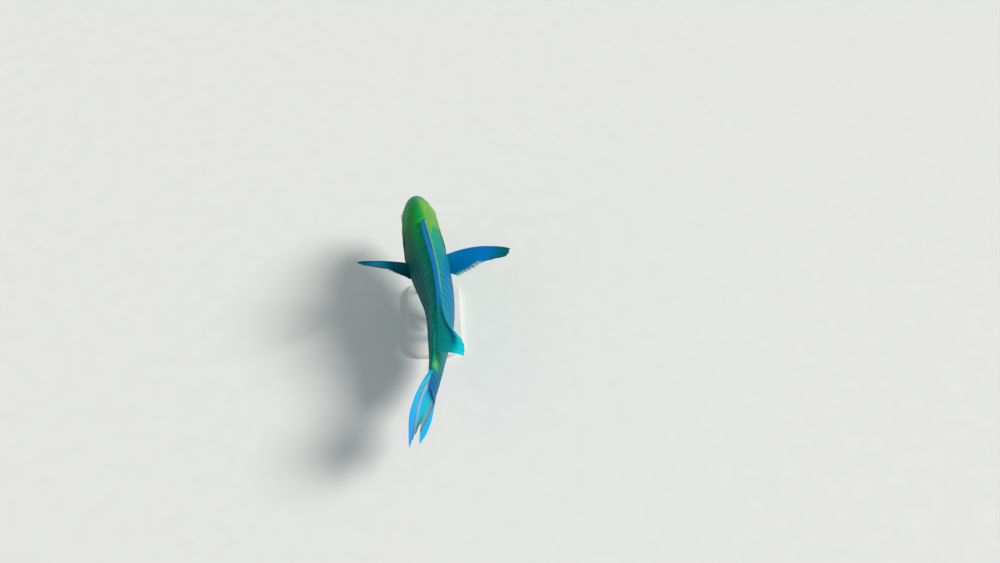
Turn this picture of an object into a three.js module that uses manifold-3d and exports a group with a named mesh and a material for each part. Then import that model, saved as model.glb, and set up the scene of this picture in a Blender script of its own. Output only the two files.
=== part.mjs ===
// A terminal-phase male parrotfish, life size, as a museum shows it: gliding through a left turn with
// its pectoral fins spread and its tail half closed, held over a plain display stand.
// Millimetres, +Z up. The head points to -Y, the fish's left side is +X, and the origin is at the
// middle of the stand's underside.
import * as THREE from "three";
import { mergeVertices } from "three/addons/utils/BufferGeometryUtils.js";
import Module from "manifold-3d";

const wasm = await Module();
wasm.setup();

// Driving dimensions. LENGTH is the fish's length along its axis, from its beak to the upper tail
// lobe's tip, to about a hundredth.
const LENGTH = 500;
const GAP = 0.3; // free space between neighbouring pieces
const AXIS_HEIGHT = 112; // height of the mouth's level above the floor
const MIDDLE = 0.34; // the body's place over the stand's middle, as a share of LENGTH

// The body's outline. Each station is [distance from the beak's tip, size], as shares of LENGTH.
const BACK = through([
  [0.016, 0.028], [0.025, 0.042], [0.045, 0.069], [0.075, 0.095], [0.11, 0.118], [0.16, 0.138],
  [0.22, 0.152], [0.28, 0.159], [0.34, 0.16], [0.42, 0.153], [0.5, 0.138], [0.58, 0.117],
  [0.66, 0.094], [0.72, 0.079], [0.77, 0.0725], [0.81, 0.074],
]);
const BELLY = through([
  [0.016, -0.025], [0.025, -0.033], [0.05, -0.052], [0.1, -0.08], [0.16, -0.104], [0.23, -0.122],
  [0.3, -0.13], [0.38, -0.129], [0.46, -0.118], [0.54, -0.097], [0.62, -0.069], [0.69, -0.044],
  [0.74, -0.0335], [0.81, -0.033],
]);
const HALF_WIDTH = through([
  [0.016, 0.025], [0.025, 0.031], [0.05, 0.0405], [0.1, 0.0522], [0.15, 0.059], [0.22, 0.0645],
  [0.3, 0.0645], [0.38, 0.058], [0.46, 0.0485], [0.54, 0.039], [0.62, 0.0295], [0.69, 0.021],
  [0.75, 0.0155], [0.785, 0.0115], [0.81, 0.006],
]);
const WIDEST_LEVEL = through([[0, 0], [0.1, 0.012], [0.3, 0.018], [0.5, 0.02], [0.81, 0.02]]);
const BACK_FULLNESS = 1.9; // exponent of the section's upper half, 2 is an ellipse
const BELLY_FULLNESS = 2.15;
// The flesh begins behind the beak's tip and swells to the full section over the rounding. Its front
// is partly a ball, by the share named round, and partly a blunt wall.
const SNOUT = { start: 0.016, rounding: 0.022, round: 0.55, bluntness: 0.25 };
const TRUNK_END = 0.66; // where the trunk passes into the tail stock
const STOCK_END = 0.805;

// The pose, also by distance along the body: the axis bends sideways and the body rolls a little.
const HEADING = through([
  [0, 4], [0.1, 6], [0.2, 7], [0.28, 10.5], [0.36, 11.5], [0.45, 6], [0.52, -0.5], [0.58, -6],
  [0.66, -5.6], [0.74, -10.5], [0.83, -15.8], [0.9, -14.1], [1.1, -1.9],
]);
const ROLL = through([
  [0, 0], [0.1, -0.2], [0.2, -1.6], [0.32, -4], [0.5, -4.2], [0.72, -4.5], [0.8, -6.8], [0.88, -12.5],
  [1.05, -15.6],
]);

// The gill cover's rear edge, which is also the seam between the head and the trunk.
const GILL_EDGE = { furthestBack: 0.262, level: -0.01, curveAbove: 0.055, curveBelow: 0.11, reach: 0.12 };
const GILL_STEP = 1.3; // how far the gill cover stands proud of the trunk, in millimetres
const GILL_STEP_LENGTH = 0.022;
const GILL_STEP_FADE = [0.055, 0.12]; // the levels between which the step dies out towards the nape

// The head's features, as shares of LENGTH unless a comment says millimetres.
const EYE = { at: 0.118, level: 0.056, radius: 0.0215, showing: 0.0068 };
const ORBIT = { radius: 0.0182, thickness: 0.0042 };
const ORBIT_SUNK = 0.5; // millimetres
const NOSTRILS = [
  { at: 0.08, level: 0.066, radius: 0.0034, rim: 0.0014 },
  { at: 0.092, level: 0.0715, radius: 0.0042, rim: 0.0012 },
];
const NOSTRIL_RIM_INSIDE = 0.4; // the share of the rim's thickness that narrows the opening
const BEAK = {
  at: 0.034, level: 0, length: 0.034, halfWidth: 0.0205, upper: 0.0225, lower: 0.0195,
  bluntness: 0.72, root: 0.004,
};
const BEAK_TIP_TURN = 0.1; // the bill's first ring, as a share of the quarter turn from its tip
// A lip runs around the beak from one mouth corner to the other and thins towards both.
const LIP = {
  at: 0.018, thickness: 0.0056, thinning: 0.225, sweptBack: 0.0144, halfTurn: 0.51,
  height: 0.93, width: 0.98, cornerWidth: 0.054, flatness: 1.25,
};
const MOUTH_LINE = { level: -0.0015, gap: 0.9, corner: 0.047 }; // gap is in millimetres
const CHEEK_LINE = [[0.150, 0.066], [0.166, 0.03], [0.168, -0.012], [0.156, -0.046], [0.128, -0.068]];
const CHEEK_LINE_RADIUS = 1.1; // millimetres
const CHEEK_LINE_END = 0.35; // how wide the line still is at its ends

// Fins. Angles are in degrees, lengths are shares of LENGTH and thicknesses are in millimetres.
const DORSAL = {
  from: 0.241, to: 0.7, rays: 19, rows: 4, sink: 0.012,
  reach: through([[0, 0.046], [0.08, 0.068], [0.3, 0.074], [0.6, 0.074], [0.85, 0.11], [1, 0.098]]),
  slope: through([[0, 23], [0.4, 32], [0.7, 51], [0.85, 32], [1, 13]]),
  lean: through([[0, 17], [0.3, 15.5], [0.5, 21], [0.65, 42], [0.8, 71], [1, 76]]),
  rootLean: 0.55,
};
const ANAL = {
  from: 0.478, to: 0.688, rays: 12, rows: 3, sink: 0.01,
  reach: through([[0, 0.036], [0.2, 0.056], [0.6, 0.064], [0.9, 0.06], [1, 0.05]]),
  slope: through([[0, 42], [1, 62]]),
  lean: -16,
};
// The tail fin. Each lobe spreads from its root and draws in again towards its tip. Between the lobes
// the rays reach from middleReach, at the fork, up to the lobe's own reach, by the lobe's fullness.
const CAUDAL = {
  rays: 13, rows: 8, centre: 0.02, rootHalf: 0.05, middleRoot: 0.79, rootCurve: 1.5, middleReach: 0.116,
  fullness: through([[0, 0], [0.2, 0.4], [0.5, 0.74], [0.75, 0.91], [1, 1]]),
  upper: { root: 0.753, reach: 0.259, spread: through([[0, 1], [0.3, 1.69], [0.65, 1.72], [1, 0.89]]) },
  lower: { root: 0.774, reach: 0.186, spread: through([[0, 1], [0.3, 1.44], [0.65, 1.21], [1, 0.555]]) },
};
const PECTORAL = {
  rootFront: [0.271, 0.004], rootRear: [0.2985, -0.038], rays: 13, rows: 6, sink: 0.012,
  reach: through([
    [0, 0.209], [0.08, 0.247], [0.2, 0.239], [0.4, 0.15], [0.6, 0.121], [0.8, 0.086], [1, 0.061],
  ]),
  fan: 34, fanPower: 1.14,
};
const PECTORAL_POSE = {
  left: { raised: 36, sweep: 11, forwardBow: 10, backwardBow: 12, rootTwist: -35, tipTwist: -44 },
  right: { raised: 27, sweep: 19, forwardBow: 6, backwardBow: 9.5, rootTwist: 29, tipTwist: 19 },
};
const PELVIC = {
  at: 0.287, rootLength: 0.02, side: 0.019, rays: 6, rows: 4, sink: 0.014,
  reach: through([[0, 0.118], [0.25, 0.122], [0.6, 0.1], [1, 0.07]]),
  backward: 24, outward: 6, fan: 26, narrowing: 0.006, drawnIn: 6.5, drop: 0.9,
};
const FIN_ROOT_THICKNESS = 3.4;
const STOUT_ROOT_THICKNESS = 4.5; // at the root of the pectoral and tail fins
const ROOT_TAPER = [0, 0.45]; // the shares of the reach over which the root thins to the rays
const TIP_TAPER = [0.4, 1];
const RAY_THICKNESS = 1.7;
const MEMBRANE_THICKNESS = 0.9;
const TIP_THICKNESS = 0.6;
const NOTCH = 0.955; // how far the membrane reaches between two rays

// The display stand, in millimetres.
const BASE = { length: 156, width: 88, height: 10, corner: 26, bevel: 1.2 };
const ROD = {
  radius: 3.5, collarRadius: 8, collarHeight: 5, collarEdge: 1, places: [0.235, 0.44], intoBody: 9,
};

// How finely each form is divided.
const SEGMENTS = {
  head: 44, trunk: 44, stock: 32, eye: [16, 10], orbit: [7, 20], nostrilRim: [5, 9], nostrilPit: [7, 4],
  bill: 20, lip: 8, groove: 6, rod: 20, corner: 3,
};
const RINGS = { head: 27, trunk: 22, stock: 9, bill: 9, lip: 16, groove: 10 };
const HEAD_RING_CROWDING = 1.15; // the head's rings lie closer together towards the snout
const FIRST_RING = 0.0006; // how far behind the start of the snout
const RING_PASSES = 14; // rounds in which a ring's places and levels settle each other
const WELD = 1e-4; // millimetres

// A smooth curve through stations [x, y], without overshoot between them.
function through(stations) {
  const slopes = stations.map((point, i) => {
    if (i === 0 || i === stations.length - 1) return 0;
    const before = (point[1] - stations[i - 1][1]) / (point[0] - stations[i - 1][0]);
    const after = (stations[i + 1][1] - point[1]) / (stations[i + 1][0] - point[0]);
    return before * after > 0 ? (2 * before * after) / (before + after) : 0;
  });
  const endSlope = (i, j) => (stations[j][1] - stations[i][1]) / (stations[j][0] - stations[i][0]);
  slopes[0] = endSlope(0, 1);
  slopes[stations.length - 1] = endSlope(stations.length - 2, stations.length - 1);
  return (x) => {
    const last = stations.length - 1;
    if (x <= stations[0][0]) return stations[0][1];
    if (x >= stations[last][0]) return stations[last][1];
    const i = stations.findIndex((point) => point[0] > x) - 1;
    const span = stations[i + 1][0] - stations[i][0];
    const t = (x - stations[i][0]) / span;
    const u = 1 - t;
    return (
      stations[i][1] * (1 + 2 * t) * u * u + stations[i + 1][1] * (3 - 2 * t) * t * t +
      span * (slopes[i] * t * u * u - slopes[i + 1] * t * t * u)
    );
  };
}

const radians = THREE.MathUtils.degToRad;
const mix = THREE.MathUtils.lerp;
const smooth = THREE.MathUtils.smoothstep;
const signedPower = (x, power) => Math.sign(x) * Math.abs(x) ** power;

// The body's axis on the plan, as points every AXIS_STEP of LENGTH from the beak to past the tail.
const AXIS_STEP = 0.005;
const AXIS_END = 1.15;
const AXIS = [new THREE.Vector2(0, 0)];
for (let a = 0; a < AXIS_END; a += AXIS_STEP) {
  const angle = radians(HEADING(a + AXIS_STEP / 2));
  const last = AXIS[AXIS.length - 1];
  AXIS.push(new THREE.Vector2(last.x - Math.sin(angle) * AXIS_STEP, last.y + Math.cos(angle) * AXIS_STEP));
}
function axisPoint(a) {
  const i = Math.min(Math.max(Math.floor(a / AXIS_STEP), 0), AXIS.length - 2);
  return AXIS[i].clone().lerp(AXIS[i + 1], a / AXIS_STEP - i);
}
const axisMiddle = axisPoint(MIDDLE);

// Carries a point of the straight fish into the pose. a, x and z are shares of LENGTH: a along the
// body, x to the fish's left and z above the mouth's level. The result is in millimetres.
function posed(a, x, z) {
  const centre = axisPoint(a).sub(axisMiddle);
  const heading = radians(HEADING(a));
  const roll = radians(ROLL(a));
  const sideways = x * Math.cos(roll) - z * Math.sin(roll);
  const upwards = x * Math.sin(roll) + z * Math.cos(roll);
  return new THREE.Vector3(
    (centre.x + sideways * Math.cos(heading)) * LENGTH,
    (centre.y + sideways * Math.sin(heading)) * LENGTH,
    upwards * LENGTH + AXIS_HEIGHT,
  );
}

// A closed solid from points and triangles, facing outwards whichever way the triangles run.
function solid(points, triangles) {
  const make = (list) => new wasm.Manifold(new wasm.Mesh({
    numProp: 3,
    vertProperties: new Float32Array(points.flatMap((point) => point.toArray())),
    triVerts: new Uint32Array(list.flat()),
  }));
  const made = make(triangles);
  return made.volume() > 0 ? made : make(triangles.map(([i, j, k]) => [i, k, j]));
}

function solidOfGeometry(geometry, matrix = new THREE.Matrix4()) {
  const bare = geometry.clone().applyMatrix4(matrix);
  bare.deleteAttribute("normal");
  bare.deleteAttribute("uv");
  const merged = mergeVertices(bare, WELD);
  const position = merged.attributes.position;
  const points = Array.from({ length: position.count }, (_, i) => (
    new THREE.Vector3().fromBufferAttribute(position, i)));
  const index = Array.from(merged.index.array);
  return solid(points, Array.from({ length: index.length / 3 }, (_, i) => index.slice(3 * i, 3 * i + 3)));
}

// A closed loft of rings, each a ring of the same number of points starting at the top. A flat end
// is filled by strips from side to side, and a rounded one by a fan to its middle.
function loft(rings, roundStart = false) {
  const count = rings[0].length;
  const points = rings.flat();
  const triangles = [];
  for (let r = 0; r + 1 < rings.length; r++) {
    for (let i = 0; i < count; i++) {
      const [p, q] = [r * count + i, r * count + ((i + 1) % count)];
      triangles.push([p, q, p + count], [q, q + count, p + count]);
    }
  }
  const strips = (start, flip) => {
    const put = (i, j, k) => triangles.push((flip ? [i, k, j] : [i, j, k]).map((corner) => start + corner));
    put(0, count - 1, 1);
    for (let i = 1; i < count / 2 - 1; i++) {
      put(i, count - i, i + 1);
      put(count - i, count - i - 1, i + 1);
    }
    put(count / 2 - 1, count / 2 + 1, count / 2);
  };
  if (roundStart) {
    const middle = rings[0].reduce((sum, point) => sum.add(point), new THREE.Vector3()).divideScalar(count);
    points.push(middle);
    for (let i = 0; i < count; i++) triangles.push([points.length - 1, (i + 1) % count, i]);
  } else {
    strips(0, false);
  }
  strips((rings.length - 1) * count, true);
  return solid(points, triangles);
}

// A point of the body's skin in the straight fish, as [a, x, z] shares of LENGTH. angle runs from the
// back, 0, over the fish's left side to the belly, half a turn. grow is in millimetres.
function skin(a, angle, grow = 0) {
  const forward = THREE.MathUtils.clamp((a - SNOUT.start) / SNOUT.rounding, 0, 1);
  const rounding = mix(forward ** SNOUT.bluntness, Math.sqrt(1 - (1 - forward) ** 2), SNOUT.round);
  const level = WIDEST_LEVEL(a);
  const up = Math.cos(angle);
  const side = Math.sin(angle);
  const height = Math.abs((up > 0 ? BACK(a) : BELLY(a)) - level) * rounding;
  const width = HALF_WIDTH(a) * rounding;
  const fullness = up > 0 ? BACK_FULLNESS : BELLY_FULLNESS;
  const x = width * signedPower(side, 2 / fullness);
  const z = height * signedPower(up, 2 / fullness);
  const outward = new THREE.Vector2(x / (width * width + 1e-9), z / (height * height + 1e-9)).normalize();
  return [a, x + (outward.x * grow) / LENGTH, level + z + (outward.y * grow) / LENGTH];
}

// How far the flank stands out from the middle plane at a place and level.
function flank(a, z) {
  const level = WIDEST_LEVEL(a);
  const half = Math.abs((z > level ? BACK(a) : BELLY(a)) - level);
  const fullness = z > level ? BACK_FULLNESS : BELLY_FULLNESS;
  const share = Math.min(Math.abs(z - level) / half, 1);
  return HALF_WIDTH(a) * (1 - share ** fullness) ** (1 / fullness);
}

function gillEdge(z) {
  const { furthestBack, level, curveAbove, curveBelow, reach } = GILL_EDGE;
  return furthestBack - (z > level ? curveAbove : curveBelow) * ((z - level) / reach) ** 2;
}

// A ring of the skin. At each level z, place(z) is its distance along the body and grow(z) its growth.
function ring(count, place, grow) {
  return Array.from({ length: count }, (_, i) => {
    const angle = (i / count) * 2 * Math.PI;
    let point = [0, 0, 0];
    for (let pass = 0; pass < RING_PASSES; pass++) point = skin(place(point[2]), angle, grow(point[2]));
    return posed(...point);
  });
}

// The three lengths of the body, each grown outwards and past its ends for cutting what meets it.
function headSolid(grow = 0) {
  const rings = Array.from({ length: RINGS.head + 1 }, (_, r) => {
    const share = (r / RINGS.head) ** HEAD_RING_CROWDING;
    const place = (z) => mix(SNOUT.start + FIRST_RING, gillEdge(z) - (GAP / 2 - grow) / LENGTH, share);
    const step = GILL_STEP * smooth(share, 1 - GILL_STEP_LENGTH / GILL_EDGE.furthestBack, 1);
    return ring(SEGMENTS.head, place, (z) => grow + step * (1 - smooth(z, ...GILL_STEP_FADE)));
  });
  return loft(rings, true);
}

function trunkSolid(grow = 0) {
  const rings = Array.from({ length: RINGS.trunk + 1 }, (_, r) => {
    const end = TRUNK_END - (GAP / 2 - grow) / LENGTH;
    const place = (z) => mix(gillEdge(z) + (GAP / 2 - grow) / LENGTH, end, r / RINGS.trunk);
    return ring(SEGMENTS.trunk, place, () => grow);
  });
  return loft(rings);
}

function stockSolid(grow = 0) {
  const rings = Array.from({ length: RINGS.stock + 1 }, (_, r) => {
    const start = TRUNK_END + (GAP / 2 - grow) / LENGTH;
    const end = STOCK_END + grow / LENGTH;
    return ring(SEGMENTS.stock, () => mix(start, end, r / RINGS.stock), () => grow);
  });
  return loft(rings);
}

const grownHead = headSolid(GAP);
const grownTrunk = trunkSolid(GAP);
const grownStock = stockSolid(GAP);

// Moves a geometry made about the origin, with its +Z looking outwards, onto the skin of one side.
// side is 1 for the fish's left and -1 for its right, and lift is in millimetres.
function ontoSkin(a, z, side, lift = 0) {
  const spread = 0.004;
  const at = (da, dz) => posed(a + da, side * flank(a + da, z + dz), z + dz);
  const along = at(spread, 0).sub(at(-spread, 0)).normalize();
  const up = at(0, spread).sub(at(0, -spread)).normalize();
  const outward = along.clone().cross(up).multiplyScalar(-side).normalize();
  if (outward.dot(posed(a, side, z).sub(posed(a, 0, z))) < 0) outward.negate();
  const across = up.clone().cross(outward).normalize();
  return new THREE.Matrix4()
    .makeBasis(across, outward.clone().cross(across), outward)
    .setPosition(at(0, 0).addScaledVector(outward, lift));
}

// The beak's two tooth plates are one blunt bill, parted by the mouth's line. It has no hidden root
// beyond what the lips hold.
function billSolid(grow = 0) {
  const count = SEGMENTS.bill;
  const rings = Array.from({ length: RINGS.bill }, (_, r) => {
    const turn = mix(BEAK_TIP_TURN, 1, r / (RINGS.bill - 1)) * (Math.PI / 2);
    const share = Math.sin(turn) ** BEAK.bluntness;
    const a = BEAK.at - (BEAK.length + grow / LENGTH) * Math.cos(turn);
    return Array.from({ length: count }, (_, i) => {
      const angle = (i / count) * 2 * Math.PI;
      const up = Math.cos(angle);
      const height = (up > 0 ? BEAK.upper : BEAK.lower) + grow / LENGTH;
      const width = BEAK.halfWidth + grow / LENGTH;
      return posed(a, width * share * Math.sin(angle), BEAK.level + height * share * up);
    });
  });
  return loft(rings, true);
}

// A slab across the head on the mouth's line, from in front of the beak to a distance behind it.
function mouthSlab(end, thickness) {
  const front = -0.03;
  const half = thickness / 2 / LENGTH;
  const reach = 0.08;
  const corners = [front, end].flatMap((a) => [-reach, reach].flatMap((x) => (
    [-half, half].map((dz) => posed(a, x, MOUTH_LINE.level + dz)))));
  return wasm.Manifold.hull(corners.map((point) => point.toArray()));
}

// A lip follows the beak's root, from one mouth corner over the beak, or under it, to the other.
function lipSolid(upper) {
  const side = upper ? 1 : -1;
  const rings = Array.from({ length: RINGS.lip + 1 }, (_, s) => {
    const angle = mix(-LIP.halfTurn, LIP.halfTurn, s / RINGS.lip) * Math.PI;
    const atCorner = 1 - Math.cos(angle);
    const radius = LIP.thickness * (1 - LIP.thinning * atCorner);
    const height = (upper ? BEAK.upper : BEAK.lower) * LIP.height;
    const a = LIP.at + LIP.sweptBack * atCorner;
    const x = BEAK.halfWidth * LIP.width * Math.sin(angle) * (1 + LIP.cornerWidth * atCorner);
    const z = side * height * Math.cos(angle);
    const outward = new THREE.Vector2(Math.sin(angle), side * Math.cos(angle));
    return Array.from({ length: SEGMENTS.lip }, (_, i) => {
      const turn = (i / SEGMENTS.lip) * 2 * Math.PI;
      const out = Math.cos(turn) * radius;
      return posed(a + Math.sin(turn) * radius * LIP.flatness, x + outward.x * out, z + outward.y * out);
    });
  });
  return loft(rings);
}

// A shallow groove along points of the skin, cut by a thin tube whose middle lies in the skin.
function grooveSolid(line, side, radius) {
  const curve = new THREE.CatmullRomCurve3(line.map(([a, z]) => new THREE.Vector3(a, 0, z)));
  const rings = Array.from({ length: RINGS.groove + 1 }, (_, s) => {
    const share = s / RINGS.groove;
    const point = curve.getPoint(share);
    const tangent = curve.getTangent(share);
    const across = [tangent.z, -tangent.x];
    const size = (radius / LENGTH) * mix(CHEEK_LINE_END, 1, Math.sin(Math.PI * share));
    return Array.from({ length: SEGMENTS.groove }, (_, i) => {
      const turn = (i / SEGMENTS.groove) * 2 * Math.PI;
      const aside = Math.cos(turn) * size;
      const out = flank(point.x, point.z) + Math.sin(turn) * size;
      return posed(point.x + across[0] * aside, side * out, point.z + across[1] * aside);
    });
  });
  return loft(rings);
}

const torus = (radius, thickness, segments) => (
  new THREE.TorusGeometry(radius * LENGTH, thickness * LENGTH, ...segments));

function head() {
  const added = [headSolid(), lipSolid(true), lipSolid(false)];
  const removed = [billSolid(GAP), mouthSlab(MOUTH_LINE.corner, MOUTH_LINE.gap)];
  for (const side of [1, -1]) {
    const orbit = torus(ORBIT.radius, ORBIT.thickness, SEGMENTS.orbit);
    added.push(solidOfGeometry(orbit, ontoSkin(EYE.at, EYE.level, side, -ORBIT_SUNK)));
    removed.push(eyeSolid(side, GAP), grooveSolid(CHEEK_LINE, side, CHEEK_LINE_RADIUS));
    for (const { at, level, radius, rim } of NOSTRILS) {
      added.push(solidOfGeometry(torus(radius, rim, SEGMENTS.nostrilRim), ontoSkin(at, level, side)));
      const opening = radius - rim * NOSTRIL_RIM_INSIDE;
      const pit = new THREE.SphereGeometry(opening * LENGTH, ...SEGMENTS.nostrilPit);
      removed.push(solidOfGeometry(pit, ontoSkin(at, level, side)));
    }
  }
  return largest(wasm.Manifold.union(added).subtract(wasm.Manifold.union(removed)));
}

function eyeSolid(side, grow = 0) {
  const sink = (EYE.showing - EYE.radius) * LENGTH;
  const ball = new THREE.SphereGeometry(EYE.radius * LENGTH + grow, ...SEGMENTS.eye);
  return solidOfGeometry(ball, ontoSkin(EYE.at, EYE.level, side, sink));
}

function largest(made) {
  return made.decompose().reduce((best, one) => (one.volume() > best.volume() ? one : best));
}

function beakPlate(upper) {
  const far = 0.2;
  const front = -0.05;
  const cut = (MOUTH_LINE.gap / 2 / LENGTH) * (upper ? 1 : -1);
  const corners = [front, BEAK.at - BEAK.root].flatMap((a) => [-far, far].flatMap((x) => (
    [cut, upper ? far : -far].map((dz) => posed(a, x, MOUTH_LINE.level + dz)))));
  return largest(billSolid().intersect(wasm.Manifold.hull(corners.map((point) => point.toArray()))));
}

// A fin is a thin sheet of rays with membrane between them. place(u, q) gives the sheet's middle as
// [a, x, z], with u across the rays and q from root to tip. Rays stand proud of the membrane on both
// faces, and both faces are split into triangles alike, along the shorter diagonals. An upright fin,
// whose rays crowd together, is thickened straight to the fish's left and right, and any other at
// right angles to its own sheet.
function finSolid(rays, rows, place, rootThickness, upright) {
  const columns = 2 * rays - 1;
  const middle = Array.from({ length: columns }, (_, c) => {
    const notch = c % 2 ? NOTCH : 1;
    return Array.from({ length: rows + 1 }, (_, r) => place(c / (columns - 1), (r / rows) * notch));
  });
  const sheet = middle.map((column) => column.map((spot) => posed(...spot)));
  const normalAt = (c, r) => {
    if (upright) {
      const [a, x, z] = middle[c][r];
      return posed(a, x - 1, z).sub(posed(a, x, z)).normalize();
    }
    const across = sheet[Math.min(c + 1, columns - 1)][r].clone().sub(sheet[Math.max(c - 1, 0)][r]);
    const outward = sheet[c][Math.min(r + 1, rows)].clone().sub(sheet[c][Math.max(r - 1, 0)]);
    return across.cross(outward).normalize();
  };
  const faces = [1, -1].map((side) => sheet.map((column, c) => column.map((point, r) => {
    const ray = c % 2 ? MEMBRANE_THICKNESS : RAY_THICKNESS;
    const root = mix(rootThickness, ray, smooth(r / rows, ...ROOT_TAPER));
    const thickness = mix(root, TIP_THICKNESS, smooth(r / rows, ...TIP_TAPER));
    return point.clone().addScaledVector(normalAt(c, r), (side * thickness) / 2);
  })));
  const points = faces.flat(2);
  const index = (face, c, r) => face * columns * (rows + 1) + c * (rows + 1) + r;
  const triangles = [];
  const quad = (p, q, s, t) => triangles.push([p, q, s], [q, t, s]);
  for (let c = 0; c + 1 < columns; c++) {
    for (let r = 0; r < rows; r++) {
      const rising = sheet[c][r].distanceTo(sheet[c + 1][r + 1]);
      const falling = sheet[c + 1][r].distanceTo(sheet[c][r + 1]);
      for (const face of [0, 1]) {
        const corners = [[c, r], [c + 1, r], [c + 1, r + 1], [c, r + 1]].map(([i, j]) => index(face, i, j));
        const [p, q, t, s] = face ? [corners[0], corners[3], corners[2], corners[1]] : corners;
        if (rising < falling) triangles.push([p, q, t], [p, t, s]);
        else quad(p, q, s, t);
      }
    }
    quad(index(1, c, 0), index(1, c + 1, 0), index(0, c, 0), index(0, c + 1, 0));
    quad(index(0, c, rows), index(0, c + 1, rows), index(1, c, rows), index(1, c + 1, rows));
  }
  for (let r = 0; r < rows; r++) {
    quad(index(0, 0, r), index(0, 0, r + 1), index(1, 0, r), index(1, 0, r + 1));
    const c = columns - 1;
    quad(index(1, c, r), index(1, c, r + 1), index(0, c, r), index(0, c, r + 1));
  }
  return solid(points, triangles);
}

// The dorsal fin stands upright in front and folds over to the fish's right towards its end.
function dorsalPlace(u, q) {
  const a = mix(DORSAL.from, DORSAL.to, u);
  const reach = DORSAL.reach(u) * q;
  const slope = radians(DORSAL.slope(u));
  const lean = radians(DORSAL.lean(u) * mix(DORSAL.rootLean, 1, q));
  const rise = reach * Math.cos(slope);
  const z = BACK(a) - DORSAL.sink + rise * Math.cos(lean);
  return [a + reach * Math.sin(slope), -rise * Math.sin(lean), z];
}

function analPlace(u, q) {
  const a = mix(ANAL.from, ANAL.to, u);
  const reach = ANAL.reach(u) * q;
  const slope = radians(ANAL.slope(u));
  const lean = radians(ANAL.lean * q);
  const drop = reach * Math.cos(slope);
  const z = BELLY(a) + ANAL.sink - drop * Math.cos(lean);
  return [a + reach * Math.sin(slope), -drop * Math.sin(lean), z];
}

// The tail fin is half closed: its lobes bow outwards and then draw together at their tips.
function caudalPlace(u, q) {
  const k = 1 - 2 * u;
  const lobe = k > 0 ? CAUDAL.upper : CAUDAL.lower;
  const share = Math.abs(k);
  const root = mix(CAUDAL.middleRoot, lobe.root, share ** CAUDAL.rootCurve);
  const reach = mix(CAUDAL.middleReach, lobe.reach, CAUDAL.fullness(share)) * q;
  return [root + reach, 0, CAUDAL.centre + k * CAUDAL.rootHalf * lobe.spread(reach / lobe.reach)];
}

// A pectoral fin is a wing: long rays in front, short ones behind, on a slanting root.
function pectoralPlace(side) {
  const pose = side > 0 ? PECTORAL_POSE.left : PECTORAL_POSE.right;
  const raised = radians(pose.raised);
  const sweep = radians(pose.sweep);
  const span = new THREE.Vector3(
    Math.sin(sweep) * Math.cos(raised), side * Math.cos(sweep) * Math.cos(raised), Math.sin(raised));
  return (u, q) => {
    const twist = radians(mix(pose.rootTwist, pose.tipTwist, q));
    const chord = new THREE.Vector3(Math.cos(twist), 0, -Math.sin(twist));
    chord.addScaledVector(span, -chord.dot(span)).normalize();
    const [a, z] = [0, 1].map((i) => mix(PECTORAL.rootFront[i], PECTORAL.rootRear[i], u));
    const start = new THREE.Vector3(a, side * (flank(a, z) - PECTORAL.sink), z);
    const bow = mix(-pose.forwardBow, pose.backwardBow, q);
    const fan = radians(PECTORAL.fan * u ** PECTORAL.fanPower + bow * (1 - u));
    const reach = PECTORAL.reach(u) * q;
    start.addScaledVector(span, reach * Math.cos(fan));
    return start.addScaledVector(chord, reach * Math.sin(fan)).toArray();
  };
}

function pelvicPlace(side) {
  return (u, q) => {
    const a = PELVIC.at + PELVIC.rootLength * u;
    const x = PELVIC.side - PELVIC.narrowing * u;
    const angle = Math.PI - Math.asin(Math.min(x / HALF_WIDTH(a), 1));
    const [, , z] = skin(a, angle);
    const down = radians(PELVIC.backward);
    const outward = radians(PELVIC.outward - PELVIC.drawnIn * u);
    const reach = PELVIC.reach(u) * q;
    const fall = Math.sin(down + radians(PELVIC.fan) * (0.5 - u) * PELVIC.drop);
    return [
      a + reach * Math.cos(down),
      side * (x + reach * Math.sin(outward) * Math.cos(down)),
      z + PELVIC.sink - reach * fall,
    ];
  };
}

function fin({ rays, rows }, place, grownBodies, rootThickness = FIN_ROOT_THICKNESS, upright = false) {
  const whole = finSolid(rays, rows, place, rootThickness, upright);
  return largest(whole.subtract(wasm.Manifold.union(grownBodies)));
}

// A rod stands on the base in its own collar and ends against the belly.
function rodSolid(at) {
  const belly = posed(at, 0, BELLY(at));
  const height = belly.z + ROD.intoBody - BASE.height - GAP;
  const profile = [
    [0, 0],
    [ROD.collarRadius, 0],
    [ROD.collarRadius, ROD.collarHeight - ROD.collarEdge],
    [ROD.collarRadius - ROD.collarEdge, ROD.collarHeight],
    [ROD.radius, ROD.collarHeight],
    [ROD.radius, height],
    [0, height],
  ].map(([x, y]) => new THREE.Vector2(x, y));
  const matrix = new THREE.Matrix4().makeRotationX(Math.PI / 2)
    .setPosition(belly.x, belly.y, BASE.height + GAP);
  const turned = new THREE.LatheGeometry(profile, SEGMENTS.rod);
  return largest(solidOfGeometry(turned, matrix).subtract(grownTrunk));
}

function baseSolid() {
  const [halfWidth, halfLength] = [BASE.width / 2 - BASE.bevel, BASE.length / 2 - BASE.bevel];
  const corner = BASE.corner - BASE.bevel;
  const outline = new THREE.Shape();
  for (const [i, [sx, sy]] of [[1, -1], [1, 1], [-1, 1], [-1, -1]].entries()) {
    const start = ((i - 1) * Math.PI) / 2;
    const [x, y] = [sx * (halfWidth - corner), sy * (halfLength - corner)];
    outline.absarc(x, y, corner, start, start + Math.PI / 2, false);
  }
  const plate = new THREE.ExtrudeGeometry(outline, {
    depth: BASE.height - 2 * BASE.bevel,
    bevelSize: BASE.bevel,
    bevelThickness: BASE.bevel,
    bevelSegments: 1,
    curveSegments: SEGMENTS.corner,
  });
  return solidOfGeometry(plate, new THREE.Matrix4().makeTranslation(0, 0, BASE.bevel));
}

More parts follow.
